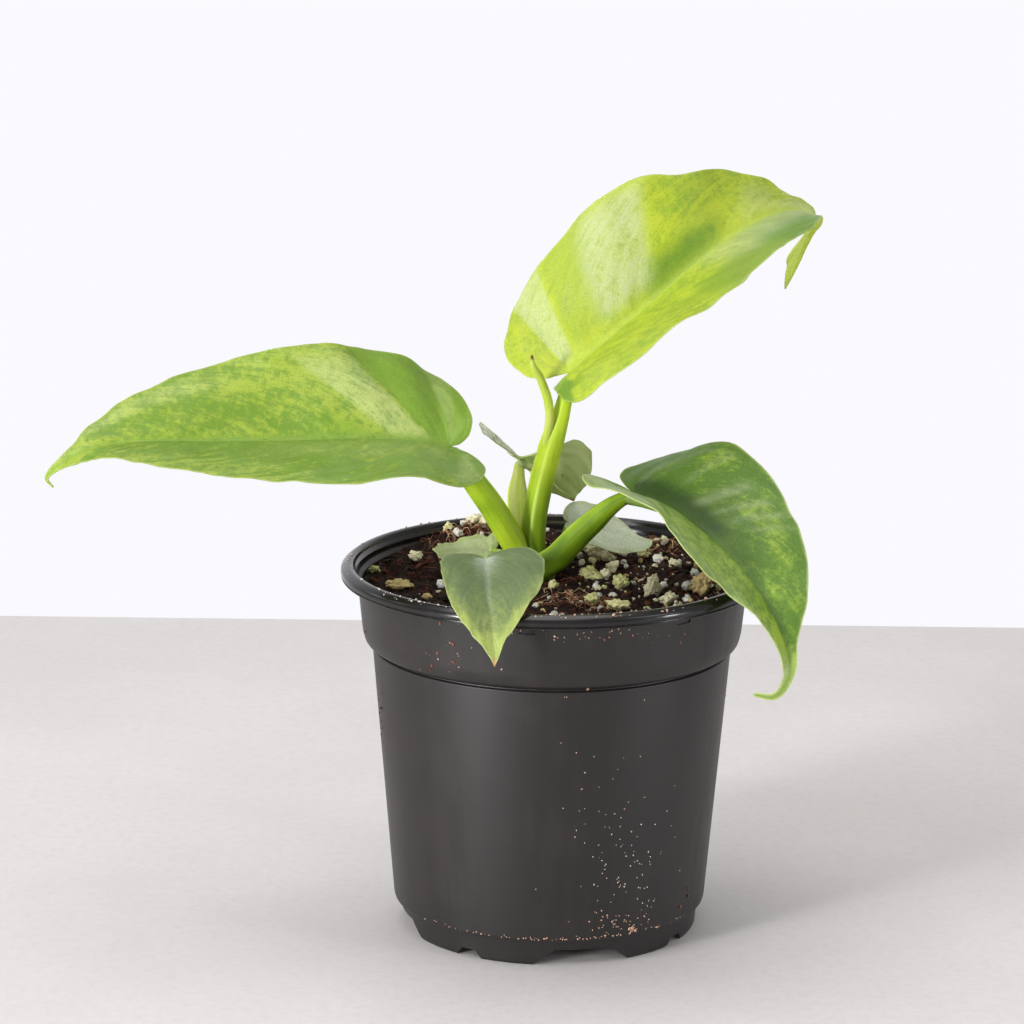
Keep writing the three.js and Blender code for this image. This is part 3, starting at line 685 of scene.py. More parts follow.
def make_pot(finish):
    cuts = Heap()
    for quarter in range(4):
        for turn, low_angle, high_angle, low, high, inner, outer in FOOT_CUTS:
            flare = (low_angle - high_angle) / high
            middle = FOOT_MIDDLE + turn + 90 * quarter
            cuts.add(*ring_sector(middle, low_angle - flare * low, high_angle, low, high, inner, outer))
    for middle, angle in COLLAR_MARKS:
        cuts.add(*ring_sector(middle, angle, angle, 91.2, 93.4, 50.25, 52.5, 4))
    tool = add_object("pot_cuts", np.vstack(cuts.points), cuts.faces)
    blank = add_object("pot_blank", *turned(rounded(POT_PROFILE), POT_SIDES))
    cut = blank.modifiers.new("cuts", "BOOLEAN")
    cut.operation = "DIFFERENCE"
    cut.solver = "EXACT"
    cut.use_self = True
    cut.object = tool
    bpy.context.view_layer.update()
    mesh = bpy.data.meshes.new_from_object(blank.evaluated_get(bpy.context.evaluated_depsgraph_get()))
    bpy.data.objects.remove(blank)
    bpy.data.objects.remove(tool)
    mesh.name = "nursery_pot"
    mesh.materials.clear()
    mesh.materials.append(finish)
    mesh.shade_smooth()
    mesh.set_sharp_from_angle(angle=math.radians(38))
    declare(show("nursery_pot", mesh), ["pot"])


# The potting mix

MIX_LEVEL, MIX_RISE, RISE_FROM, RISE_TO = 91.5, 2.6, -5, 45
MOUND_HEIGHT, MOUND_PLACE, MOUND_REACH = 2.8, (-20, 39), (10, 6.5)
MIX_RADIUS, MIX_RINGS, MIX_SIDES = 49.3, 130, 300
# Radius and height of the rings down the mix's side, inside the pot, to its floor.
MIX_SIDE = ((47.2, 79), (45.2, 75.4), (39.2, 9), (37, 8), (37, 4.4))

# Stones, bark and larger perlite: x, y, length, width, height, turn, colour.
CREAM, WHITE, YELLOW, GREEN, GREY, TAN = (
    shade(242, 234, 200),
    shade(250, 247, 238),
    shade(238, 232, 172),
    shade(222, 222, 156),
    shade(222, 222, 214),
    shade(214, 190, 134),
)
STONES = [
    (11.8, 23.1, 5, 3.8, 3.6, 20, CREAM), (9, 28, 3.4, 2.8, 2.6, 60, CREAM),
    (15.2, 19.5, 2.6, 2.2, 2.4, 10, CREAM), (24.2, 23.2, 2.8, 2.4, 2.6, 80, YELLOW),
    (30, 35, 2.2, 2, 2.6, 0, CREAM), (28, 19.6, 2.6, 2.2, 2.4, 45, WHITE),
    (32, 14.8, 3.2, 2.4, 2.4, 20, CREAM), (9.6, 6.3, 5.2, 3.2, 3, -10, GREEN),
    (15.7, 11.7, 3.2, 2.6, 2.6, 30, CREAM), (14, 6.5, 2.6, 2.4, 2.4, 70, CREAM),
    (17.8, -2.4, 4.2, 3.4, 3.2, 15, GREEN), (25.7, -11.6, 3.4, 2.8, 6.4, 30, CREAM),
    (29.7, -18, 3.8, 3, 2.8, 15, CREAM), (35, -4.7, 2.4, 2, 2.4, 50, GREY),
    (38.6, -5.6, 4.8, 4.2, 5.4, -20, TAN), (37.4, 8.2, 2, 1.8, 2, 0, GREY),
    (16.7, -25.4, 5, 3, 2.6, 10, YELLOW), (10.2, -19.6, 4.2, 3, 3.2, -40, GREEN),
    (-40.4, -5.4, 7, 4, 2.4, 12, TAN), (-36.4, 19.5, 3.6, 2.6, 2.4, -15, CREAM),
    (-21.4, 44.4, 3.8, 3, 3.4, 25, CREAM), (-18, 42, 4.2, 3, 2.8, -30, CREAM),
    (-28.2, 38.5, 2.6, 2.2, 2.4, 40, YELLOW), (-25.4, 34.5, 2.6, 2, 2, 5, WHITE),
    (28.9, -2.9, 1.8, 1.6, 1.8, 0, WHITE), (34.7, -15.8, 2, 1.6, 1.6, 30, GREY),
    (15.6, -13.7, 2.4, 1.4, 1.2, -20, WHITE), (0.4, -4.2, 2.4, 2, 2, 10, YELLOW),
    (-28.9, -5.6, 2, 1.8, 2, 0, WHITE), (-32.2, -16.9, 2.2, 1.6, 1.6, 0, TAN),
    (-47, 8.5, 2.6, 2, 1.8, 0, GREEN), (-24.4, 44.2, 1.7, 1.5, 1.7, 0, WHITE),
]


def mix_level(x, y):
    """The level of the potting mix at a place."""
    rise = MIX_RISE * step_up(y, (RISE_FROM + RISE_TO) / 2, RISE_TO - RISE_FROM)
    across = (x - MOUND_PLACE[0]) / MOUND_REACH[0]
    along = (y - MOUND_PLACE[1]) / MOUND_REACH[1]
    mound = MOUND_HEIGHT * np.exp(-0.5 * (across**2 + along**2))
    return MIX_LEVEL + rise + mound


def crumbly(points):
    """Small heights of loose lumps at places in the plane."""
    heights = []
    for x, y in points:
        coarse = noise.fractal(Vector((x * 0.16, y * 0.16, 3.1)), 0.6, 2.1, 4)
        fine = noise.turbulence(Vector((x * 0.55, y * 0.55, 7.7)), 3, False)
        heights.append(0.75 * coarse + 1.1 * fine - 0.75)
    return np.array(heights)


def mix_surface(x, y):
    points = np.stack([np.atleast_1d(x), np.atleast_1d(y)], -1)
    return mix_level(points[:, 0], points[:, 1]) + crumbly(points)


def make_mix(finish):
    """The body of the mix: a crumbly top, and plain sides and floor inside the pot."""
    radii = np.linspace(0, 1, MIX_RINGS + 1)[1:] ** 0.85 * MIX_RADIUS
    turn = around(MIX_SIDES)
    x = radii[:, None] * np.cos(turn)
    y = radii[:, None] * np.sin(turn)
    top = np.stack([x, y, np.zeros_like(x)], -1).reshape(-1, 3)
    top[:, 2] = mix_surface(top[:, 0], top[:, 1])
    side = []
    for radius, height in MIX_SIDE:
        side.append(np.stack([radius * np.cos(turn), radius * np.sin(turn), 0 * turn + height], -1))
    middle = mix_surface(0.0, 0.0)[0]
    points = np.vstack([top, *side, [[0, 0, middle], [0, 0, MIX_SIDE[-1][1]]]])
    faces = ring_faces(MIX_RINGS + len(side), MIX_SIDES)
    add_piece("potting_mix", points, faces, [finish], ["soil"])


def pebble(ball, place, sizes, turn, roughness, seed):
    """A lumpy stone on the mix."""
    points, faces = BALLS[ball]
    offset = Vector((seed * 3.7, seed * 1.3, seed * 7.1))
    swell = []
    for point in points:
        lumps = noise.fractal(Vector(point) * 0.9 + offset, 0.9, 2.0, 3)
        knobs = noise.noise(Vector(point) * 3.2 + offset)
        pits = noise.noise(Vector(point) * 7 - offset)
        swell.append(1 + roughness * (0.6 * lumps + 0.45 * knobs + 0.16 * pits))
    points = points * np.array(swell)[:, None] * np.array(sizes) / 2
    c, s = math.cos(math.radians(turn)), math.sin(math.radians(turn))
    points = points @ np.array([[c, s, 0], [-s, c, 0], [0, 0, 1]])
    return points + np.array(place), faces


def any_tone(draw, tones):
    return np.array(tones[int(draw.integers(len(tones)))][:3])


def spot(draw, x, y, reach):
    """A place within reach of another one."""
    turn, out = draw.random() * math.tau, reach * math.sqrt(draw.random())
    return x + out * math.cos(turn), y + out * math.sin(turn)


def make_perlite(finish):
    heap = Heap()
    draw = np.random.default_rng(7)
    for k, (x, y, length, width, height, turn, tone) in enumerate(STONES):
        place = (x, y, mix_level(x, y) + height * 0.3)
        points, faces = pebble(3 if length > 2.5 else 2, place, (length, width, height), turn, 0.95, k)
        heap.add(points, faces, tone=tone[:3])
    tones = [CREAM, WHITE, WHITE, YELLOW, GREY, CREAM, TAN]
    for k in range(420):
        x, y = scattered(draw)
        size = 0.5 + 1.5 * draw.random() ** 2.6
        sizes = size * (0.75 + 0.5 * draw.random(3))
        place = (x, y, mix_surface(x, y)[0] + size * 0.12)
        points, faces = pebble(2 if size > 1.0 else 1, place, sizes, 360 * draw.random(), 0.5, 40 + k)
        heap.add(points, faces, tone=any_tone(draw, tones) * draw.uniform(0.7, 1))
    heap.piece("perlite_and_pumice", [finish], [], "soil")


def scattered(draw):
    """A place on the mix. Most loose bits lie on the right and at the front."""
    while True:
        x, y = spot(draw, 0, 0, MIX_RADIUS * 0.985)
        if draw.random() < 0.45 + 0.5 * (x / MIX_RADIUS) - 0.1 * (y / MIX_RADIUS):
            return x, y


def strand(draw, x, y, length, thickness, lift):
    """A curly fibre that lies on the mix."""
    steps = 7
    heading = draw.random() * math.tau
    bend = draw.normal() * 0.35
    places = [(x, y)]
    for _ in range(steps - 1):
        heading += bend + draw.normal() * 0.3
        x += math.cos(heading) * length / steps
        y += math.sin(heading) * length / steps
        reach = math.hypot(x, y)
        if reach > MIX_RADIUS:
            x, y = x * MIX_RADIUS / reach, y * MIX_RADIUS / reach
        places.append((x, y))
    places = np.array(places)
    shares = np.linspace(0, 1, steps)
    arch = lift * np.sin(shares * math.pi * draw.uniform(0.6, 1.3)) + 0.1
    height = mix_surface(places[:, 0], places[:, 1]) + np.abs(arch)
    points = np.column_stack([places, height])
    along = unit(np.gradient(points, axis=0))
    up = unit(np.cross(np.cross(along, [0, 0, 1]), along))
    radii = thickness * (1 - 0.6 * np.abs(shares * 2 - 1) ** 2)
    return tube(points, along, up, radii, np.ones((steps, 4)))


# Places with many fibres: x, y, reach, how many, how high they arch.
FIBRE_BUNDLES = [
    (0, 0, 49, 900, 0.7),
    (-20, 39, 9, 120, 1.6),
    (30, 36, 8, 90, 1.8),
    (12, -21, 4, 50, 1.6),
    (3, -13, 5, 50, 1.5),
    (-26, 33, 9, 60, 1.3),
    (-38, 8, 8, 40, 0.8),
]


def make_fibres(finish):
    heap = Heap()
    draw = np.random.default_rng(23)
    peat = [(82, 42, 30), (52, 29, 23), (124, 68, 46), (36, 22, 18), (66, 36, 26)]
    rust = [(142, 84, 58), (104, 58, 40), (182, 132, 96), (70, 40, 30), (210, 180, 140)]
    for x, y, reach, count, lift in FIBRE_BUNDLES:
        browns = [shade(*brown) for brown in (rust if lift > 1 else peat)]
        for _ in range(count):
            place = spot(draw, x, y, reach)
            if math.hypot(*place) > MIX_RADIUS:
                continue
            length = draw.uniform(2.5, 8.5)
            thickness = draw.uniform(0.05, 0.16)
            points, faces = strand(draw, *place, length, thickness, lift * draw.random())
            heap.add(points, faces, tone=any_tone(draw, browns))
    heap.piece("coir_fibres", [finish], [], "soil")


def make_bark(finish):
    heap = Heap()
    draw = np.random.default_rng(91)
    browns = [shade(40, 23, 18), shade(66, 37, 27), shade(26, 17, 15), shade(98, 54, 38)]
    for k in range(400):
        x, y = spot(draw, 0, 0, MIX_RADIUS * 0.97)
        sizes = np.array([draw.uniform(1.0, 4.2), draw.uniform(0.7, 2.2), draw.uniform(0.4, 1.4)])
        place = (x, y, mix_surface(x, y)[0] + 0.15)
        points, faces = pebble(1, (0, 0, 0), sizes, 360 * draw.random(), 0.8, 400 + k)
        tip = Matrix.Rotation(draw.normal() * 0.4, 3, "X") @ Matrix.Rotation(draw.normal() * 0.4, 3, "Y")
        points = points @ np.array(tip) + np.array(place)
        heap.add(points, faces, tone=any_tone(draw, browns))
    heap.piece("bark_bits", [finish], [], "soil")


# Crumbs on the pot: angle from the front, height, spread of both, how many, largest size, colour.
RUST, PEACH, CHALK = shade(150, 96, 70), shade(206, 168, 142), shade(216, 208, 198)
POT_CRUMBS = [
    (-38, 84, 10, 8, 10, 1.5, RUST),
    (-28, 86, 12, 6, 9, 0.8, PEACH),
    (-30, 80, 5, 3, 4, 1.9, RUST),
    (12, 91, 26, 1.2, 26, 0.6, PEACH),
    (26, 89, 18, 3, 16, 0.7, RUST),
    (20, 40, 18, 26, 46, 0.42, PEACH),
    (26, 26, 18, 16, 60, 0.4, CHALK),
    (28, 11, 16, 4, 44, 0.5, PEACH),
    (34, 9, 6, 1.5, 8, 1.3, PEACH),
    (6, 7.9, 44, 0.4, 90, 0.45, PEACH),
    (8, 76, 6, 2, 3, 1.0, PEACH),
    (58, 13, 4, 4, 8, 1.6, RUST),
    (-76, 62, 6, 12, 9, 0.9, shade(40, 30, 28)),
    (140, 50, 60, 30, 40, 0.5, PEACH),
    (-140, 60, 60, 28, 40, 0.5, CHALK),
]
LIP_CRUMBS = [
    (-40, 30, 34, 0.9, CHALK),
    (0, 30, 26, 0.7, PEACH),
    (34, 20, 22, 1.1, PEACH),
    (180, 120, 50, 0.8, PEACH),
]


def outer_radius(height):
    """The radius of the pot's outside at a height."""
    heights = (0, 6.9, 7.7, 75.4, 77, 79.5, 93)
    radii = (38.8, 39.4, 41.1, 46.9, 48.6, 49.4, 50.9)
    return float(np.interp(height, heights, radii))


# Where crumbs stick: lowest and highest on the wall, and from where to where on the lip.
CRUMB_LOWEST, CRUMB_HIGHEST = 7.4, 92.5
LIP_IN, LIP_OUT, LIP_TOP, LIP_BEND = 52.4, 54.4, 97.1, 53.6


def make_crumbs(finish):
    heap = Heap()
    draw = np.random.default_rng(5)

    def crumb(turn, radius, height, size, tone):
        sizes = size * (0.5 + 0.7 * draw.random(3))
        place = (radius * math.sin(turn), -radius * math.cos(turn), height)
        points, faces = pebble(1, place, sizes, 360 * draw.random(), 1.1, 900 + heap.count * 0.01)
        heap.add(points, faces, tone=np.array(tone[:3]) * draw.uniform(0.7, 1.05))

    for angle, height, spread, climb, count, largest, tone in POT_CRUMBS:
        for _ in range(count):
            turn = math.radians(angle + spread * draw.normal() * 0.6)
            z = float(np.clip(height + climb * draw.normal() * 0.6, CRUMB_LOWEST, CRUMB_HIGHEST))
            size = 0.3 + (largest - 0.3) * draw.random() ** 2.2
            crumb(turn, outer_radius(z) + size * 0.1, z, size, tone)
    for angle, spread, count, largest, tone in LIP_CRUMBS:
        for _ in range(count):
            turn = math.radians(angle + spread * draw.normal() * 0.6)
            size = 0.3 + (largest - 0.3) * draw.random() ** 2
            out = draw.uniform(LIP_IN, LIP_OUT)
            crumb(turn, out, LIP_TOP - max(0.0, out - LIP_BEND) * 0.8, size, tone)
    heap.piece("soil_crumbs_on_pot", [finish], [], "soil")


# The leaves

# midrib: places from the petiole's end to the tip. facing: the way that the upper face looks at first.
# veins: place on the midrib, angle to it, then length and lift on the left half and on the right half.
# wobble: how far the left and the right margin waver. slant: how the patches lean along the blade.
# arch and curl: how far the veins bend towards the tip, and up or down. vein_gap: between side veins.
# petiole and radii: its places from the crown to the blade, and its radii. channel: where its channel faces.
# foot: how far up the petiole its foot's colour reaches, and how strong it is.
# lime: how much of the blade is lime. patches, for each half and mark: first and last place along the blade,
# first and last place from midrib to margin, softness of both, and how strong.
PLAIN_LEAF = dict(
    slant=0, arch=15, curl=0, vein_gap=6.5, rib_width=1, dry_from=1.5, specks=0, foot=(9, 0.5),
    channel=(0, 0, 1),
)
LEAVES = {}
LEAVES["left_leaf"] = dict(
    midrib=[
        (-27.5, -2, 128), (-36, -3, 130), (-50, -4, 130.5), (-68, -5, 130), (-87, -7, 130),
        (-106.5, -9, 130), (-118.5, -11, 128.5), (-126.5, -12, 124.5), (-130, -12, 121),
        (-128.5, -12, 118.5),
    ],
    veins=[
        (0, 155, 4, 38, 3, 30), (0, 137, 13, 24, 7, 26), (0, 105, 20, 17, 16, 16),
        (0, 74, 25.5, 23, 25, 15), (0.08, 62, 29.5, 16, 28.5, 27), (0.16, 57, 29.5, 17, 30.5, 40),
        (0.26, 52, 28.5, 18, 31, 40), (0.42, 47, 25, 18, 28, 31), (0.58, 42, 19, 17, 22, 28),
        (0.74, 40, 11, 15, 12, 22), (0.87, 42, 4.2, 0, 4, 18), (0.95, 60, 1.3, 0, 1.3, 15),
        (1, 75, 0.3, 0, 0.3, 15),
    ],
    petiole=[
        (-7, 6, 92.5), (-9.5, 5, 99.5), (-12, 3.5, 104.5), (-16, 2, 111.5), (-20, 0.5, 117.5),
        (-24, -1, 123.5), (-27.3, -1.9, 127.6),
    ],
    facing=(0.05, -0.45, 0.88), wobble=(0.6, 0.7), slant=0.09, arch=20, curl=-10,
    radii=(3, 3.4, 3.5, 3.4, 3.2, 2.6, 1.7), channel=(0.75, -0.1, 0.6), foot=(20, 0.7), lime=0.42,
    patches={
        "right deep": [
            (0.16, 0.345, 0, 1.1, 0.012, 0.1, 0.7), (0.49, 0.56, 0, 0.2, 0.03, 0.1, 0.5),
            (-0.1, 0.182, 0, 1.1, 0.01, 0.1, 0.9),
        ],
        "right lime": [
            (0.16, 0.345, 0, 1.1, 0.012, 0.1, -0.3), (0.36, 0.52, 0, 1.1, 0.04, 0.3, 0.15),
            (0.36, 0.44, 0.84, 1.1, 0.03, 0.1, 0.25), (0.53, 0.56, 0.6, 0.74, 0.02, 0.08, 0.5),
            (0.55, 0.8, 0.3, 0.6, 0.1, 0.3, -0.1), (0.78, 1.1, 0, 1.1, 0.12, 0.1, 0.2),
        ],
        "right pale": [
            (0.355, 0.45, 0, 0.85, 0.02, 0.4, 0.75), (0.44, 0.5, 0.05, 0.7, 0.04, 0.3, 0.1),
            (0.56, 0.78, 0.7, 0.94, 0.08, 0.15, 0.4), (0.82, 1.1, 0.3, 1.1, 0.1, 0.3, 0.35),
            # painted sheen: a grey-green wedge of reflected light beside the curled lobe
            (0.182, 0.232, 0.12, 1.1, 0.008, 0.1, 0.32),
        ],
        "left lime": [
            (-0.1, 0.85, 0, 1.1, 0.1, 0.1, -0.3), (0.45, 0.8, 0.65, 1.1, 0.1, 0.3, 0.35),
            (0.78, 1.1, 0, 1.1, 0.1, 0.1, 0.3),
        ],
        # painted sheen: a greyish reflection below the midrib and on the lobe
        "left pale": [(0.24, 0.6, 0.05, 0.45, 0.1, 0.3, 0.2), (0.1, 0.16, 0.4, 1, 0.03, 0.2, 0.4)],
    },
)
LEAVES["top_leaf"] = dict(
    midrib=[
        (4, 6, 146.5), (11, 8, 152.5), (23.5, 14, 162.5), (38, 22, 174), (52.5, 33, 182), (62.5, 42, 183.5),
        (69, 49, 180), (66, 50, 171), (61.5, 47, 161.5),
    ],
    veins=[
        (0, 155, 6, 34, 7, 42), (0, 140, 12.5, 25, 8.5, 28), (0, 112, 21, 16, 15.5, 27),
        (0, 82, 30.5, 9, 24, 33), (0.08, 68, 34.5, 20, 28, 33), (0.22, 58, 36, 34, 28, 23),
        (0.38, 50, 28.5, 33, 23.5, 14), (0.55, 44, 21.5, 19, 20, 6), (0.7, 38, 12, 12, 10, 6),
        (0.84, 30, 9, 12, 1.8, 6), (0.93, 36, 3.9, 6, 1.1, 4), (1, 70, 0.15, 0, 0.15, 0),
    ],
    petiole=[
        (-4.5, 8.5, 92.5), (-5, 8, 104), (-3.5, 8, 114.5), (-1, 7.5, 125.5), (1.5, 7, 134), (3, 6.5, 140.5),
        (3.9, 6, 146.1),
    ],
    facing=(-0.45, -0.62, 0.64), wobble=(1.7, 0.8), arch=20, curl=-10,
    radii=(2.9, 3.1, 3.1, 3.1, 2.4, 1.9, 1.8), channel=(-0.8, -0.6, 0.1), foot=(45, 0.8), lime=0.75,
    rib_width=1.7,
    patches={
        # painted reflection of the window: whitish strips and patches, and a grey sheen towards the tip
        "left pale": [
            (0.25, 0.318, 0.1, 1.1, 0.012, 0.15, 0.8), (0.4, 0.49, 0.12, 0.95, 0.03, 0.2, 0.85),
            (0.33, 0.41, 0.35, 1, 0.04, 0.3, 0.1), (0.64, 0.69, 0.1, 0.8, 0.03, 0.3, 0.3),
            (0.7, 0.95, 0, 0.5, 0.06, 0.3, 0.35),
        ],
        "left deep": [
            (0.32, 0.42, 0.1, 1.1, 0.04, 0.2, 0.42), (0.47, 0.6, 0, 0.32, 0.06, 0.35, 0.8),
            (0.53, 0.61, 0.2, 1.1, 0.05, 0.3, 0.22),
        ],
        "left lime": [
            (0.5, 0.56, 0.6, 1.1, 0.03, 0.3, -0.1), (0.2, 0.27, 0.3, 1, 0.05, 0.3, -0.15),
            (0.52, 0.8, 0.4, 1.1, 0.08, 0.3, -0.2),
        ],
        "right lime": [(-0.1, 1.1, 0, 1.1, 0.1, 0.1, -0.25)],
        # painted shade: the first patch is the shadow along the midrib's front side, and the fourth the
        # shade on the curled front lobe
        "right deep": [
            (0.15, 0.45, -0.1, 0.12, 0.1, 0.2, 0.45), (0.46, 0.68, 0.45, 1.1, 0.06, 0.3, 0.6),
            (0.6, 0.85, -0.1, 1.1, 0.06, 0.3, 0.55), (-0.1, 0.19, 0.3, 1.1, 0.05, 0.2, 1),
            (0.19, 0.27, 0.3, 0.6, 0.05, 0.15, 0.6),
        ],
        # painted sheen: a grey sheen on the front half towards the tip
        "right pale": [(0.55, 0.8, -0.1, 0.6, 0.06, 0.3, 0.5)],
    },
)
LEAVES["right_leaf"] = dict(
    midrib=[
        (21, -4, 116.5), (30.5, -9, 114), (39.5, -17, 109), (46.5, -23, 104), (53, -30, 96.5),
        (57.5, -35, 89), (60, -39, 81.5), (59, -41, 76.5), (56, -42, 73.5), (51, -42, 74),
    ],
    veins=[
        (0, 158, 3.5, 3, 7, 78), (0, 145, 9, -5, 13.5, 58), (0, 111, 15, -8, 18.5, 49),
        (0, 84, 21, 0, 19.5, 52), (0.1, 68, 27.5, 11, 23, 49), (0.25, 58, 24.5, 11, 23, 43),
        (0.42, 50, 19, 11, 15.5, 28), (0.58, 44, 12, 17, 10.5, 40), (0.74, 44, 3.8, 24, 5.4, 38),
        (0.86, 65, 1.4, 4, 1.6, 8), (0.94, 75, 0.9, 0, 0.9, 0), (1, 80, 0.5, 0, 0.5, 0),
    ],
    petiole=[
        (-4, 4.5, 92.5), (-2.5, 3, 95.5), (1, 2.5, 98), (4, 1.5, 101.5), (7, 0.5, 105), (10.5, -0.5, 108.5),
        (14.5, -2, 112.5), (18, -3, 115), (20.8, -4, 116.2),
    ],
    facing=(-0.2, -0.45, 0.87), wobble=(0.6, 0.6), arch=20, curl=-10,
    radii=(3.3, 3.8, 3.8, 3.6, 3.5, 3.2, 2.5, 1.9, 1.7), channel=(-0.6, 0.1, 0.8), foot=(16, 0.7),
    lime=0.18,
    patches={
        # painted reflection: thin whitish streaks of window light along the side veins
        "left pale": [
            (0.355, 0.368, 0.3, 0.9, 0.008, 0.2, 0.35), (0.4, 0.418, 0.2, 0.75, 0.008, 0.2, 0.7),
            (0.435, 0.446, 0.25, 0.85, 0.008, 0.2, 0.6), (0.46, 0.475, 0.3, 0.95, 0.01, 0.2, 0.45),
            (0.49, 0.5, 0.4, 0.95, 0.01, 0.2, 0.35),
        ],
        "left lime": [
            (0.34, 0.37, 0.5, 0.9, 0.01, 0.2, 0.3), (0.42, 0.64, 0.5, 0.85, 0.04, 0.15, 0.2),
            (0.57, 0.66, 0.15, 0.45, 0.04, 0.15, 0.25), (0.2, 0.32, 0.45, 0.8, 0.04, 0.2, 0.15),
            (0.74, 1.1, 0, 1.1, 0.08, 0.2, 0.85),
        ],
        # painted shade: the first patch is the shadow in the groove along the midrib
        "left deep": [
            (0.16, 0.5, -0.1, 0.25, 0.08, 0.3, 0.9), (0.2, 0.34, 0.1, 1.1, 0.05, 0.2, 0.3),
            (-0.1, 0.2, 0, 1.1, 0.05, 0.2, 0.35),
        ],
        "right lime": [
            (0.28, 0.9, 0, 1.1, 0.1, 0.2, 0.35), (-0.1, 0.27, 0, 1.1, 0.1, 0.2, 0.45),
            (0.7, 1.1, 0, 1.1, 0.1, 0.2, 0.85),
        ],
        "right pale": [(0.28, 0.6, 0.1, 0.9, 0.1, 0.3, 0.2), (0.3, 0.9, 0.8, 1.1, 0.1, 0.2, 0.35)],
        "both pale": [(0.75, 1.1, 0, 1.1, 0.08, 0.2, 0.45)],
    },
)
LEAVES["heart_leaf"] = dict(
    midrib=[
        (-17, -34, 106), (-16.5, -40, 103.5), (-16, -48, 100.5), (-15, -54, 97), (-14.5, -59, 93),
        (-14, -61.5, 89), (-14, -62, 86),
    ],
    veins=[
        (0, 158, 1.5, -4, 1.5, -2), (0, 128, 7, 7, 6.5, -2), (0, 104, 12.5, 12, 10.5, 4),
        (0, 75, 15.5, 10, 12, 11), (0.12, 60, 16, 13, 13, 15), (0.35, 50, 13, 11, 12.5, 14),
        (0.58, 43, 8, 12, 9, 12), (0.8, 35, 3.5, 11, 4, 12), (1, 25, 0, 11, 0, 11),
    ],
    petiole=[
        (-5.5, 3, 93.5), (-7, -2, 96.5), (-11, -15, 101.5), (-14.5, -26, 104.5), (-16.9, -33.6, 105.7),
    ],
    facing=(0, -0.3, 0.95), wobble=(0.4, 0.4), curl=-10, radii=(1.6, 1.5, 1.3, 1.2, 1.1), lime=0.12,
    dry_from=0.94, vein_gap=3.2,
    patches={
        # painted sheen: a soft whitish glow at the sinus and along the midrib
        "both pale": [(-0.1, 0.45, -0.1, 0.2, 0.3, 0.3, 1), (0.3, 0.75, -0.1, 0.06, 0.2, 0.1, 0.35)],
        "both lime": [
            (0.5, 1.1, 0.8, 1.1, 0.4, 0.5, 0.55), (0.86, 1.1, 0, 1.1, 0.12, 0.4, 0.6),
            (0.68, 1.1, 0, 1.1, 0.3, 0.3, 0.35),
        ],
    },
)
LEAVES["back_leaf"] = dict(
    midrib=[(-9, 14, 121.5), (-6.5, 16, 120), (-2.5, 19, 116.5), (1.5, 21, 112), (5.5, 21, 108.5)],
    veins=[
        (0, 158, 12.5, 65, 3.5, -6), (0, 146, 14.5, 70, 4, -16), (0, 132, 6.5, 62, 4.5, -22),
        (0, 108, 4.5, 38, 8.5, -15), (0.05, 75, 5.5, 30, 16, 6), (0.2, 60, 6.5, 24, 16.5, 14),
        (0.45, 50, 7, 8, 12, 2), (0.75, 40, 3, 6, 5.5, -1), (1, 30, 0, 2, 0, -2),
    ],
    petiole=[
        (-5.5, 10, 92.5), (-8, 10.5, 99), (-9, 11, 105.5), (-9.5, 12.5, 112), (-9.2, 13.3, 117.5),
        (-9, 13.8, 121.2),
    ],
    facing=(0.25, 0.75, 0.55), wobble=(0.6, 0.6), radii=(2, 2.6, 2.9, 2.7, 1.6, 1.2),
    channel=(0.2, -0.9, 0.2), lime=0.2, dry_from=0.93, specks=1,
    patches={
        # painted light: this half of the blade lies in shade and is painted near white
        "left pale": [(-0.1, 0.7, 0, 1.1, 0.1, 0.2, 0.95)],
    },
)
LEAVES["small_right_leaf"] = dict(
    midrib=[(4, 14, 104.5), (10, 17, 102.5), (15.5, 20, 100.5), (22, 22, 98.5), (26.5, 23, 97.5)],
    veins=[
        (0, 151, 1, 8, 1, -4), (0, 115, 2.5, 7, 3, 2), (0, 89, 5, 8, 5.5, 2), (0.12, 65, 9.5, 10, 8, -2),
        (0.35, 55, 8.5, 11, 9, -5), (0.6, 46, 5, 4, 7.5, -5), (0.82, 36, 1.5, -2, 4.5, -3),
        (1, 25, 0, -5, 0, 0),
    ],
    petiole=[(-1, 11, 92.5), (1.2, 12.2, 95.5), (3, 13.4, 99.5), (3.9, 13.9, 104.1)],
    facing=(0, -0.5, 0.8), wobble=(0.4, 0.4), radii=(1.3, 1.2, 1, 0.9), vein_gap=4, lime=0.2,
    patches={
        "both pale": [(0.3, 0.9, 0, 0.8, 0.2, 0.3, 0.7)],
    },
)
LEAVES["small_left_leaf"] = dict(
    midrib=[(-16.5, 12, 97), (-20.5, 12.6, 97.2), (-24.5, 11.6, 96.8), (-30.5, 8, 97.3)],
    veins=[
        (0, 150, 1, 10, 1, 15), (0, 115, 3, 8, 4, 24), (0, 85, 5, 6, 6, 18), (0.15, 65, 6, 4, 6.5, 7),
        (0.4, 55, 7, 0, 7, 4), (0.65, 46, 6, -4, 5, 4), (0.85, 42, 3.5, -4, 3, 2), (1, 38, 0, -3, 0, 0),
    ],
    petiole=[(-8, 9, 92.5), (-11, 10.3, 95), (-14, 11.4, 96.4), (-16.4, 11.9, 96.7)],
    facing=(0.1, -0.3, 0.9), wobble=(2.2, 2.2), vein_gap=4, curl=-5, radii=(1.5, 1.3, 1.1, 1), lime=0.75,
    specks=0.8,
    patches={
        "both pale": [(0.2, 0.9, 0, 0.7, 0.2, 0.3, 0.45)],
    },
)

ROWS_PER_VEIN = 13
STEPS_ACROSS = 26
BLADE_MIDDLE, BLADE_MARGIN = 0.62, 0.26
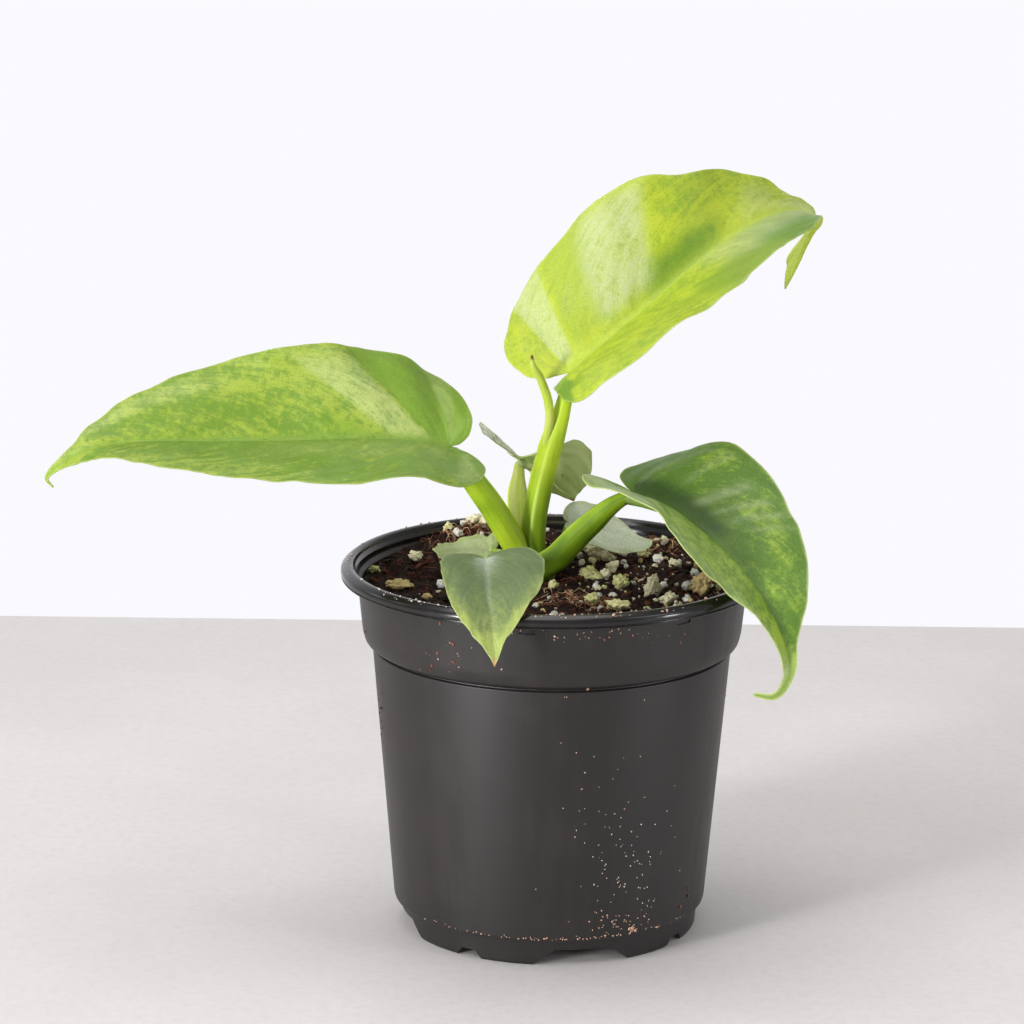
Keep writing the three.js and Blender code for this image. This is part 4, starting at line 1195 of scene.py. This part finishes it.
# How far the midrib and the side veins sink into the upper face, and how far the veins stand out below.
RIB_GROOVE, VEIN_GROOVE, VEIN_RIDGE = 0.16, 0.05, 0.08


def wobble(share, reach):
    """Small bumps of a margin, in millimetres, which fade out at both of its ends."""
    bumps = noise_at((place * 26, reach, 0.5) for place in share)
    return reach * (bumps - 0.25) * np.sin(share * math.pi) ** 0.5


def half_blade(leaf, spine, side):
    """Points of one half of a blade, a row for each vein from midrib to margin, with what marks need."""
    rows = (len(leaf["veins"]) - 1) * ROWS_PER_VEIN + 1
    share = np.linspace(0, 1, rows)
    vein = eased(leaf["veins"], share)
    out = 1 - (1 - np.linspace(0, 1, STEPS_ACROSS + 1)) ** 1.5
    length, lift = (vein[:, 2], vein[:, 3]) if side > 0 else (vein[:, 4], vein[:, 5])
    length = length + wobble(share, leaf["wobble"][0 if side > 0 else 1]) * np.clip(length / 10, 0, 1)
    start, along, up = spine.at(vein[:, 0])
    across = np.cross(up, along) * side
    middle = (out[1:] + out[:-1]) / 2
    bend = leaf["arch"] * np.minimum(1, vein[:, :1] * 10)
    turn = np.radians(vein[:, 1:2] - bend * (middle - 0.5))
    rise = np.radians(lift[:, None] + leaf["curl"] * middle)
    heading = np.cos(turn)[..., None] * along[:, None]
    heading = heading + (np.sin(turn) * np.cos(rise))[..., None] * across[:, None]
    heading = heading + (np.sin(turn) * np.sin(rise))[..., None] * up[:, None]
    strides = heading * (length[:, None] * np.diff(out))[..., None]
    points = np.concatenate([start[:, None], start[:, None] + np.cumsum(strides, 1)], 1)
    run = steps_of(points[:, STEPS_ACROSS // 2])[:, None]
    grid = np.ones_like(points[..., 0])
    forward = (0.45 + 1.1 * share[:, None]) * length[:, None] * out**2
    return points, {
        "share": grid * share[:, None],
        "out": grid * out,
        "run": run - forward,
        "reach": out * length[:, None],
        "edge": (1 - out) * length[:, None],
        "rib_way": out * length[:, None] * np.sin(np.radians(vein[:, 1:2])),
        "at": grid * vein[:, :1],
        "breadth": grid * np.clip(length[:, None] / 6, 0.1, 1),
        "side": grid * side,
    }


def blade_middle(leaf):
    """The middle surface of a blade: points, faces and the values that its marks are made from."""
    spine = Spine(leaf["midrib"], leaf["facing"])
    points, values, faces, known = [], {}, [], {}
    for side in (1, -1):
        grid, facts = half_blade(leaf, spine, side)
        rows, columns = grid.shape[:2]
        index = np.zeros((rows, columns), int)
        for row in range(rows):
            for column in range(columns):
                point = grid[row, column]
                key = tuple(np.round(point, 4))
                if key not in known:
                    known[key] = len(points)
                    points.append(point)
                    for title, fact in facts.items():
                        values.setdefault(title, []).append(fact[row, column])
                index[row, column] = known[key]
        for row in range(rows - 1):
            for column in range(columns - 1):
                a, b = index[row, column], index[row, column + 1]
                c, d = index[row + 1, column], index[row + 1, column + 1]
                face = (a, c, d, b) if side > 0 else (a, b, d, c)
                face = tuple(dict.fromkeys(int(corner) for corner in face))
                if len(face) > 2:
                    faces.append(face)
    return np.array(points), faces, {title: np.array(fact) for title, fact in values.items()}


def point_normals(points, faces):
    normals = np.zeros_like(points)
    for face in faces:
        corners = points[list(face)]
        normal = np.cross(corners[1] - corners[0], corners[2] - corners[0])
        if len(face) == 4:
            normal = normal + np.cross(corners[2] - corners[0], corners[3] - corners[0])
        for corner in face:
            normals[corner] += normal
    return unit(normals)


def patch_marks(leaf, facts):
    """How much of each patch every point has."""
    out = facts["out"]
    marks = {"deep": out * 0, "pale": out * 0, "lime": out * 0 + leaf["lime"]}
    place = facts["share"] - leaf["slant"] * (0.3 - (1 - out) ** 2)
    on_half = {"both": 1, "left": facts["side"] > 0, "right": facts["side"] < 0}
    for kind, patches in leaf["patches"].items():
        half, title = kind.split()
        for first, last, inner, outer, soft, soft_out, strength in patches:
            weight = step_up(place, first, soft) * (1 - step_up(place, last, soft))
            weight *= step_up(out, inner, soft_out) if inner > 0 else 1
            weight *= 1 - step_up(out, outer, soft_out)
            marks[title] += strength * weight * on_half[half]
    return marks


def vein_places(leaf, facts):
    """Where points lie between the side veins, counted in veins. The gaps differ a little."""
    run = facts["run"]
    return (run + np.sin(run * 0.31) + 0.5 * np.sin(run * 0.83 + facts["side"])) / leaf["vein_gap"]


def vein_lines(leaf, facts):
    """1 on the lines of the side veins, which fade towards the margin."""
    off = np.abs(vein_places(leaf, facts) % 1 - 0.5) * leaf["vein_gap"]
    width = 0.35 + 0.5 * (1 - facts["out"])
    return np.exp(-((off / width) ** 2)) * (1 - facts["out"]) ** 0.5


def pucker(leaf, points, facts):
    """How far the blade swells up or sinks in: low cushions between the veins and a wavy margin."""
    spread = np.clip(facts["rib_way"] / 4, 0, 1)
    cushions = np.cos(vein_places(leaf, facts) * math.tau) * facts["out"] * (1 - facts["out"]) * 4
    swells = noise_at(points * 0.11)
    ripples = noise_at(points * 0.3)
    waves = noise_at((along * 0.16, 4.2, 0) for along in facts["run"])
    low = 0.01 * leaf["vein_gap"] * cushions
    return spread * (low + 0.5 * swells + 0.16 * ripples + 0.55 * waves * facts["out"] ** 4)


def make_leaf(node, leaf, blade, stalk, slot):
    """A blade of even thickness that thins out to its margin, and its petiole and raised midrib."""
    middle, faces, facts = blade_middle(leaf)
    middle = middle + point_normals(middle, faces) * pucker(leaf, middle, facts)[:, None]
    normals = point_normals(middle, faces)
    count = len(middle)
    thin = np.clip(facts["edge"] / 5, 0, 1)
    thickness = BLADE_MARGIN + (BLADE_MIDDLE - BLADE_MARGIN) * thin
    groove = RIB_GROOVE * np.exp(-((facts["rib_way"] / 0.9) ** 2)) * thin
    lines = vein_lines(leaf, facts)
    upper = thickness / 2 - groove - VEIN_GROOVE * lines * thin
    lower = thickness / 2 + VEIN_RIDGE * lines * thin
    points = np.vstack([middle + normals * upper[:, None], middle - normals * lower[:, None]])
    walls = {}
    shell = []
    for face in faces:
        shell.append(face)
        shell.append(tuple(corner + count for corner in reversed(face)))
        for a, b in zip(face, face[1:] + face[:1]):
            if walls.pop((b, a), None) is None:
                walls[(a, b)] = True
    shell += [(b, a, a + count, b + count) for a, b in walls]
    rib_width = (0.5 + 1.1 * (1 - facts["at"])) * leaf["rib_width"]
    marks = dict(
        patch_marks(leaf, facts),
        rib=np.exp(-((facts["rib_way"] / rib_width) ** 2)) * (facts["edge"] > 0.3),
        margin=np.exp(-((facts["edge"] / 0.35) ** 2)) * 0.9,
        veins=lines,
        breadth=facts["breadth"],
        dry=step_up(facts["at"], leaf["dry_from"], 0.05),
    )
    marks = {title: np.tile(values, 2) for title, values in marks.items()}
    under = np.repeat([0.0, 1.0], count)
    run, reach, side = (np.tile(facts[title], 2) for title in ("run", "reach", "side"))
    chart = np.column_stack([run, reach, side * 40 + under * 15])
    heap = Heap()
    heap.add(points, shell, under=under, vein_chart=chart, specks=leaf["specks"], **marks)
    stem_rings = add_petiole(heap, leaf)
    finish_of_face = np.zeros(len(heap.faces), int)
    finish_of_face[len(shell) : len(shell) + (stem_rings - 1) * PETIOLE_SIDES] = 1
    heap.piece(f"{node}_and_petiole", [blade, stalk], [node], slot, finish_of_face)


PETIOLE_SIDES, PETIOLE_STEPS = 28, 60
# The petiole's last rings are left out, because they would show at the blade's base.
RINGS_LEFT_OUT = 5
# The raised midrib: where it starts and ends on the blade, and its rings.
RIB_START, RIB_END, RIB_RINGS = 0.03, 0.84, 30
# How far the channel's ridges lie from its middle, as a turn round the petiole.
RIDGE_TURN = 0.72


def stalk_line(leaf):
    """The petiole's line, and on under the blade as its midrib: points, radii, the petiole's rings."""
    spine = Spine(leaf["midrib"], leaf["facing"])
    rib_shares = np.linspace(RIB_START, RIB_END, RIB_RINGS)
    rib, _, up = spine.at(rib_shares)
    rib_radii = (leaf["radii"][-1] * 0.8 + 0.2) * (1 - rib_shares / 0.9) ** 0.9 + 0.08
    rib = rib - up * (rib_radii + 0.02)[:, None]
    stem_shares = np.linspace(0, 1, PETIOLE_STEPS)[:-RINGS_LEFT_OUT]
    stem = smooth_through(leaf["petiole"], stem_shares)
    stem_radii = eased(leaf["radii"], stem_shares)[:, 0]
    return np.vstack([stem, rib]), np.concatenate([stem_radii, rib_radii]), len(stem)


def add_petiole(heap, leaf):
    """Adds the petiole and midrib, with a channel that fades out towards the blade."""
    line, radii, stem_rings = stalk_line(leaf)
    along = unit(np.gradient(line, axis=0))
    turn = around(PETIOLE_SIDES)
    turn = np.where(turn > math.pi, turn - math.tau, turn)
    from_ridge = np.abs(turn) - RIDGE_TURN
    fade = np.clip(1 - np.arange(len(line)) / stem_rings, 0, 1)[:, None] ** 0.6
    ridges = np.exp(-((from_ridge / 0.2) ** 2))
    hollow = np.exp(-((turn / 0.5) ** 2))
    outline = 1 + fade * (0.13 * ridges - 0.2 * hollow)
    points, faces = tube(line, along, carried(leaf["channel"], along), radii, outline)
    ridge = np.exp(-((from_ridge / 0.13) ** 2)) * fade * 0.8
    run, turns = np.broadcast_arrays(steps_of(line)[:, None], turn)
    chart = np.stack([np.abs(turns) * 3, run, np.sign(turns)], -1).reshape(-1, 3)
    foot_reach, foot_strength = leaf["foot"]
    foot = np.clip(1 - run / foot_reach, 0, 1) * foot_strength
    heap.add(
        points,
        faces,
        under=1.0,
        lime=leaf["lime"],
        vein_chart=np.vstack([chart, chart[-2:]]),
        ridge=np.append(ridge, [0, 0]),
        foot=np.append(foot, [0, 0]),
    )
    return stem_rings


# The new leaf, still rolled, and the crown with its roots

ROLLED_PATH = [
    (-2.2, 6.6, 126.5), (-1.6, 5.2, 131), (-1.2, 4.2, 135), (-1.6, 3.6, 139), (-2.6, 2.8, 142.5),
    (-4, 2, 146), (-5.5, 1, 149), (-6, 0.5, 151.8),
]
ROLLED_RADII = (0.9, 1.1, 1.15, 1.2, 1.15, 1, 0.7, 0.3)


def make_rolled_leaf(finish):
    rings, sides = 80, 24
    share = np.linspace(0, 1, rings)
    line = smooth_through(ROLLED_PATH, share)
    along = unit(np.gradient(line, axis=0))
    ups = carried((0, -1, 0.2), along)
    turn = around(sides)
    seam = (turn - 1.2 - 3.5 * share[:, None]) % math.tau
    outline = 1 + 0.12 * np.exp(-(((seam - 0.5) / 0.35) ** 2)) - 0.16 * np.exp(-((seam / 0.3) ** 2))
    radii = eased(ROLLED_RADII, share)[:, 0]
    points, faces = tube(line, along, ups, radii, outline)
    way = np.append(np.repeat(share, sides), [0, 1])
    ridge = np.append(np.exp(-(((seam - 0.5) / 0.25) ** 2)) * 0.5, [0, 0])
    chart = np.column_stack([np.append(np.tile(turn, rings), [0, 0]) * 1.2, way * 26, way * 0])
    heap = Heap()
    heap.add(points, faces, vein_chart=chart, ridge=ridge, foot=0.0, dry=step_up(way, 0.95, 0.06))
    heap.piece("rolled_leaf", [finish], ["rolled_new_leaf"], "new_leaf")


CROWN_PROFILE = [(0, 66, 0), (2.6, 67.5, 0.8), (5.2, 90, 2.5), (4.6, 93, 0.6), (3.4, 93.5, 0.8), (0, 95, 0)]
CROWN_PLACE = (-4, 7)
ROOTS = [
    [(-5, 6, 82), (-13, -2, 74), (-22, -10, 58), (-25, -15, 40)],
    [(-2, 7, 80), (8, 4, 72), (18, 8, 56), (20, 14, 36)],
    [(-4, 9, 78), (-6, 18, 70), (-3, 27, 54), (2, 29, 34)],
    [(-4, 5, 74), (-2, -6, 62), (4, -16, 44), (3, -20, 26)],
]


def make_crown(finish):
    heap = Heap()
    points, faces = turned(rounded(CROWN_PROFILE)[::-1], 40)
    points = points + np.array([*CROWN_PLACE, 0])
    heap.add(points, faces, vein_chart=points, ridge=0.0, foot=1.0, dry=0.0)
    for root in ROOTS:
        share = np.linspace(0, 1, 40)
        line = smooth_through(root, share)
        along = unit(np.gradient(line, axis=0))
        up = unit(np.cross(np.cross(along, [0, 0, 1]), along))
        radii = eased((1.3, 1.3, 0.7), share)[:, 0] * (1 + 0.08 * np.sin(share * 60))
        points, faces = tube(line, along, up, radii, np.ones((40, 12)))
        heap.add(points, faces, vein_chart=points, ridge=0.0, foot=1.0, dry=0.25)
    heap.piece("crown", [finish], ["crown_and_roots"], "crown")


# Putting it together

DRY = (150, 104, 62)
# The underside colour here is far lighter than the lime: painted light shining through the top leaf's
# hanging tip.
LIME_TONES = dict(
    green=(128, 156, 34), lime=(170, 184, 36), deep=(98, 134, 24), pale=(180, 190, 148),
    under=(228, 244, 112), rib=(168, 188, 60), margin=(178, 192, 112), dry=DRY, grain=(98, 134, 24),
)
LEFT_TONES = dict(
    green=(100, 133, 34), lime=(144, 163, 50), deep=(116, 150, 36), pale=(178, 190, 124),
    under=(120, 150, 57), rib=(120, 152, 46), margin=(160, 174, 84), dry=DRY, grain=(82, 114, 26),
)
DEEP_TONES = dict(
    green=(83, 117, 37), lime=(146, 172, 58), deep=(50, 80, 26), pale=(154, 166, 128),
    under=(126, 154, 70), rib=(88, 120, 42), margin=(190, 200, 132), dry=DRY, grain=(50, 80, 26),
)
OLD_TONES = dict(
    green=(88, 107, 62), lime=(156, 170, 84), deep=(74, 96, 52), pale=(180, 185, 172),
    under=(206, 224, 150), rib=(134, 148, 112), margin=(172, 184, 112), dry=(186, 140, 88),
    grain=(74, 96, 52),
)
FADED_TONES = dict(
    OLD_TONES, green=(186, 196, 164), lime=(172, 188, 120), pale=(218, 222, 212), margin=(200, 208, 156)
)
# The back leaf's near-white paler colour and light underside colour are painted light on parts that lie in
# shade.
BACK_TONES = dict(OLD_TONES, green=(112, 132, 80), pale=(246, 248, 240), under=(226, 240, 170))
YELLOWED_TONES = dict(FADED_TONES, green=(150, 166, 104), lime=(166, 180, 112), pale=(200, 206, 176))

add_camera()
add_floor()
light_room()

make_pot(pot_finish())
make_mix(mix_finish())
make_perlite(grain_finish("perlite", 0.85, 0.75, 0.35))
make_fibres(grain_finish("coir", 0.8, 0.2, 0.1))
make_bark(grain_finish("bark", 0.88, 0.3, 0.4))
make_crumbs(grain_finish("crumbs", 0.85, 0.4, 0.15))

# Name and the colours of the lime, its shades, the channel's edges and the foot.
STALKS = {
    "top": ("petiole", (184, 208, 44), (150, 184, 26), (204, 220, 112), (72, 106, 14)),
    "new": ("new_leaf_sheath", (186, 196, 96), (172, 194, 52), (226, 230, 178), (182, 200, 80)),
    # painted light: the left petiole's foot colour is lighter than its real colour, to brighten its lower
    # part
    "left": ("left_petiole_foot_painted_light", (164, 194, 40), (128, 164, 24), (196, 212, 110), (214, 230, 64)),
    "right": ("right_petiole", (128, 158, 20), (98, 132, 15), (176, 196, 80), (62, 96, 11)),
    # painted light: the back petiole's colours are lighter than its real colour, for it lies in shade
    "back": ("back_petiole_painted_light", (248, 254, 150), (222, 242, 110), (250, 252, 210), (170, 196, 70)),
    "old": ("old_petiole", (168, 192, 84), (120, 150, 52), (206, 216, 160), (120, 110, 60)),
}
stalks = {key: stalk_finish(*colours) for key, colours in STALKS.items()}
# Slot, petiole, and the blade's name, colours, roughness, marbling, subsurface, and strength of midrib and
# margin.
COATS = {
    "left_leaf": ("leaf", "left", "left_blade", LEFT_TONES, 0.42, 1.1, 0.0, 0.7, 0.7),
    "top_leaf": ("leaf", "top", "top_blade", LIME_TONES, 0.38, 0.75, 0.15, 0.6, 0.6),
    "right_leaf": ("leaf", "right", "right_blade", DEEP_TONES, 0.4, 0.65, 0.1, 0.45, 0.8),
    "heart_leaf": ("old_leaf", "old", "heart_blade", OLD_TONES, 0.5, 0.3, 0.1, 0.15, 0.5),
    "back_leaf": ("old_leaf", "back", "back_blade", BACK_TONES, 0.5, 0.3, 0.12, 0.15, 0.5),
    "small_right_leaf": ("old_leaf", "old", "small_right_blade", FADED_TONES, 0.5, 0.3, 0.12, 0.15, 0.5),
    "small_left_leaf": ("old_leaf", "old", "small_left_blade", YELLOWED_TONES, 0.55, 0.6, 0.12, 0.15, 0.5),
}
for node, leaf in LEAVES.items():
    slot, stalk, *blade = COATS[node]
    make_leaf(node, {**PLAIN_LEAF, **leaf}, leaf_finish(*blade), stalks[stalk], slot)
make_rolled_leaf(stalks["new"])
make_crown(stalks["old"])
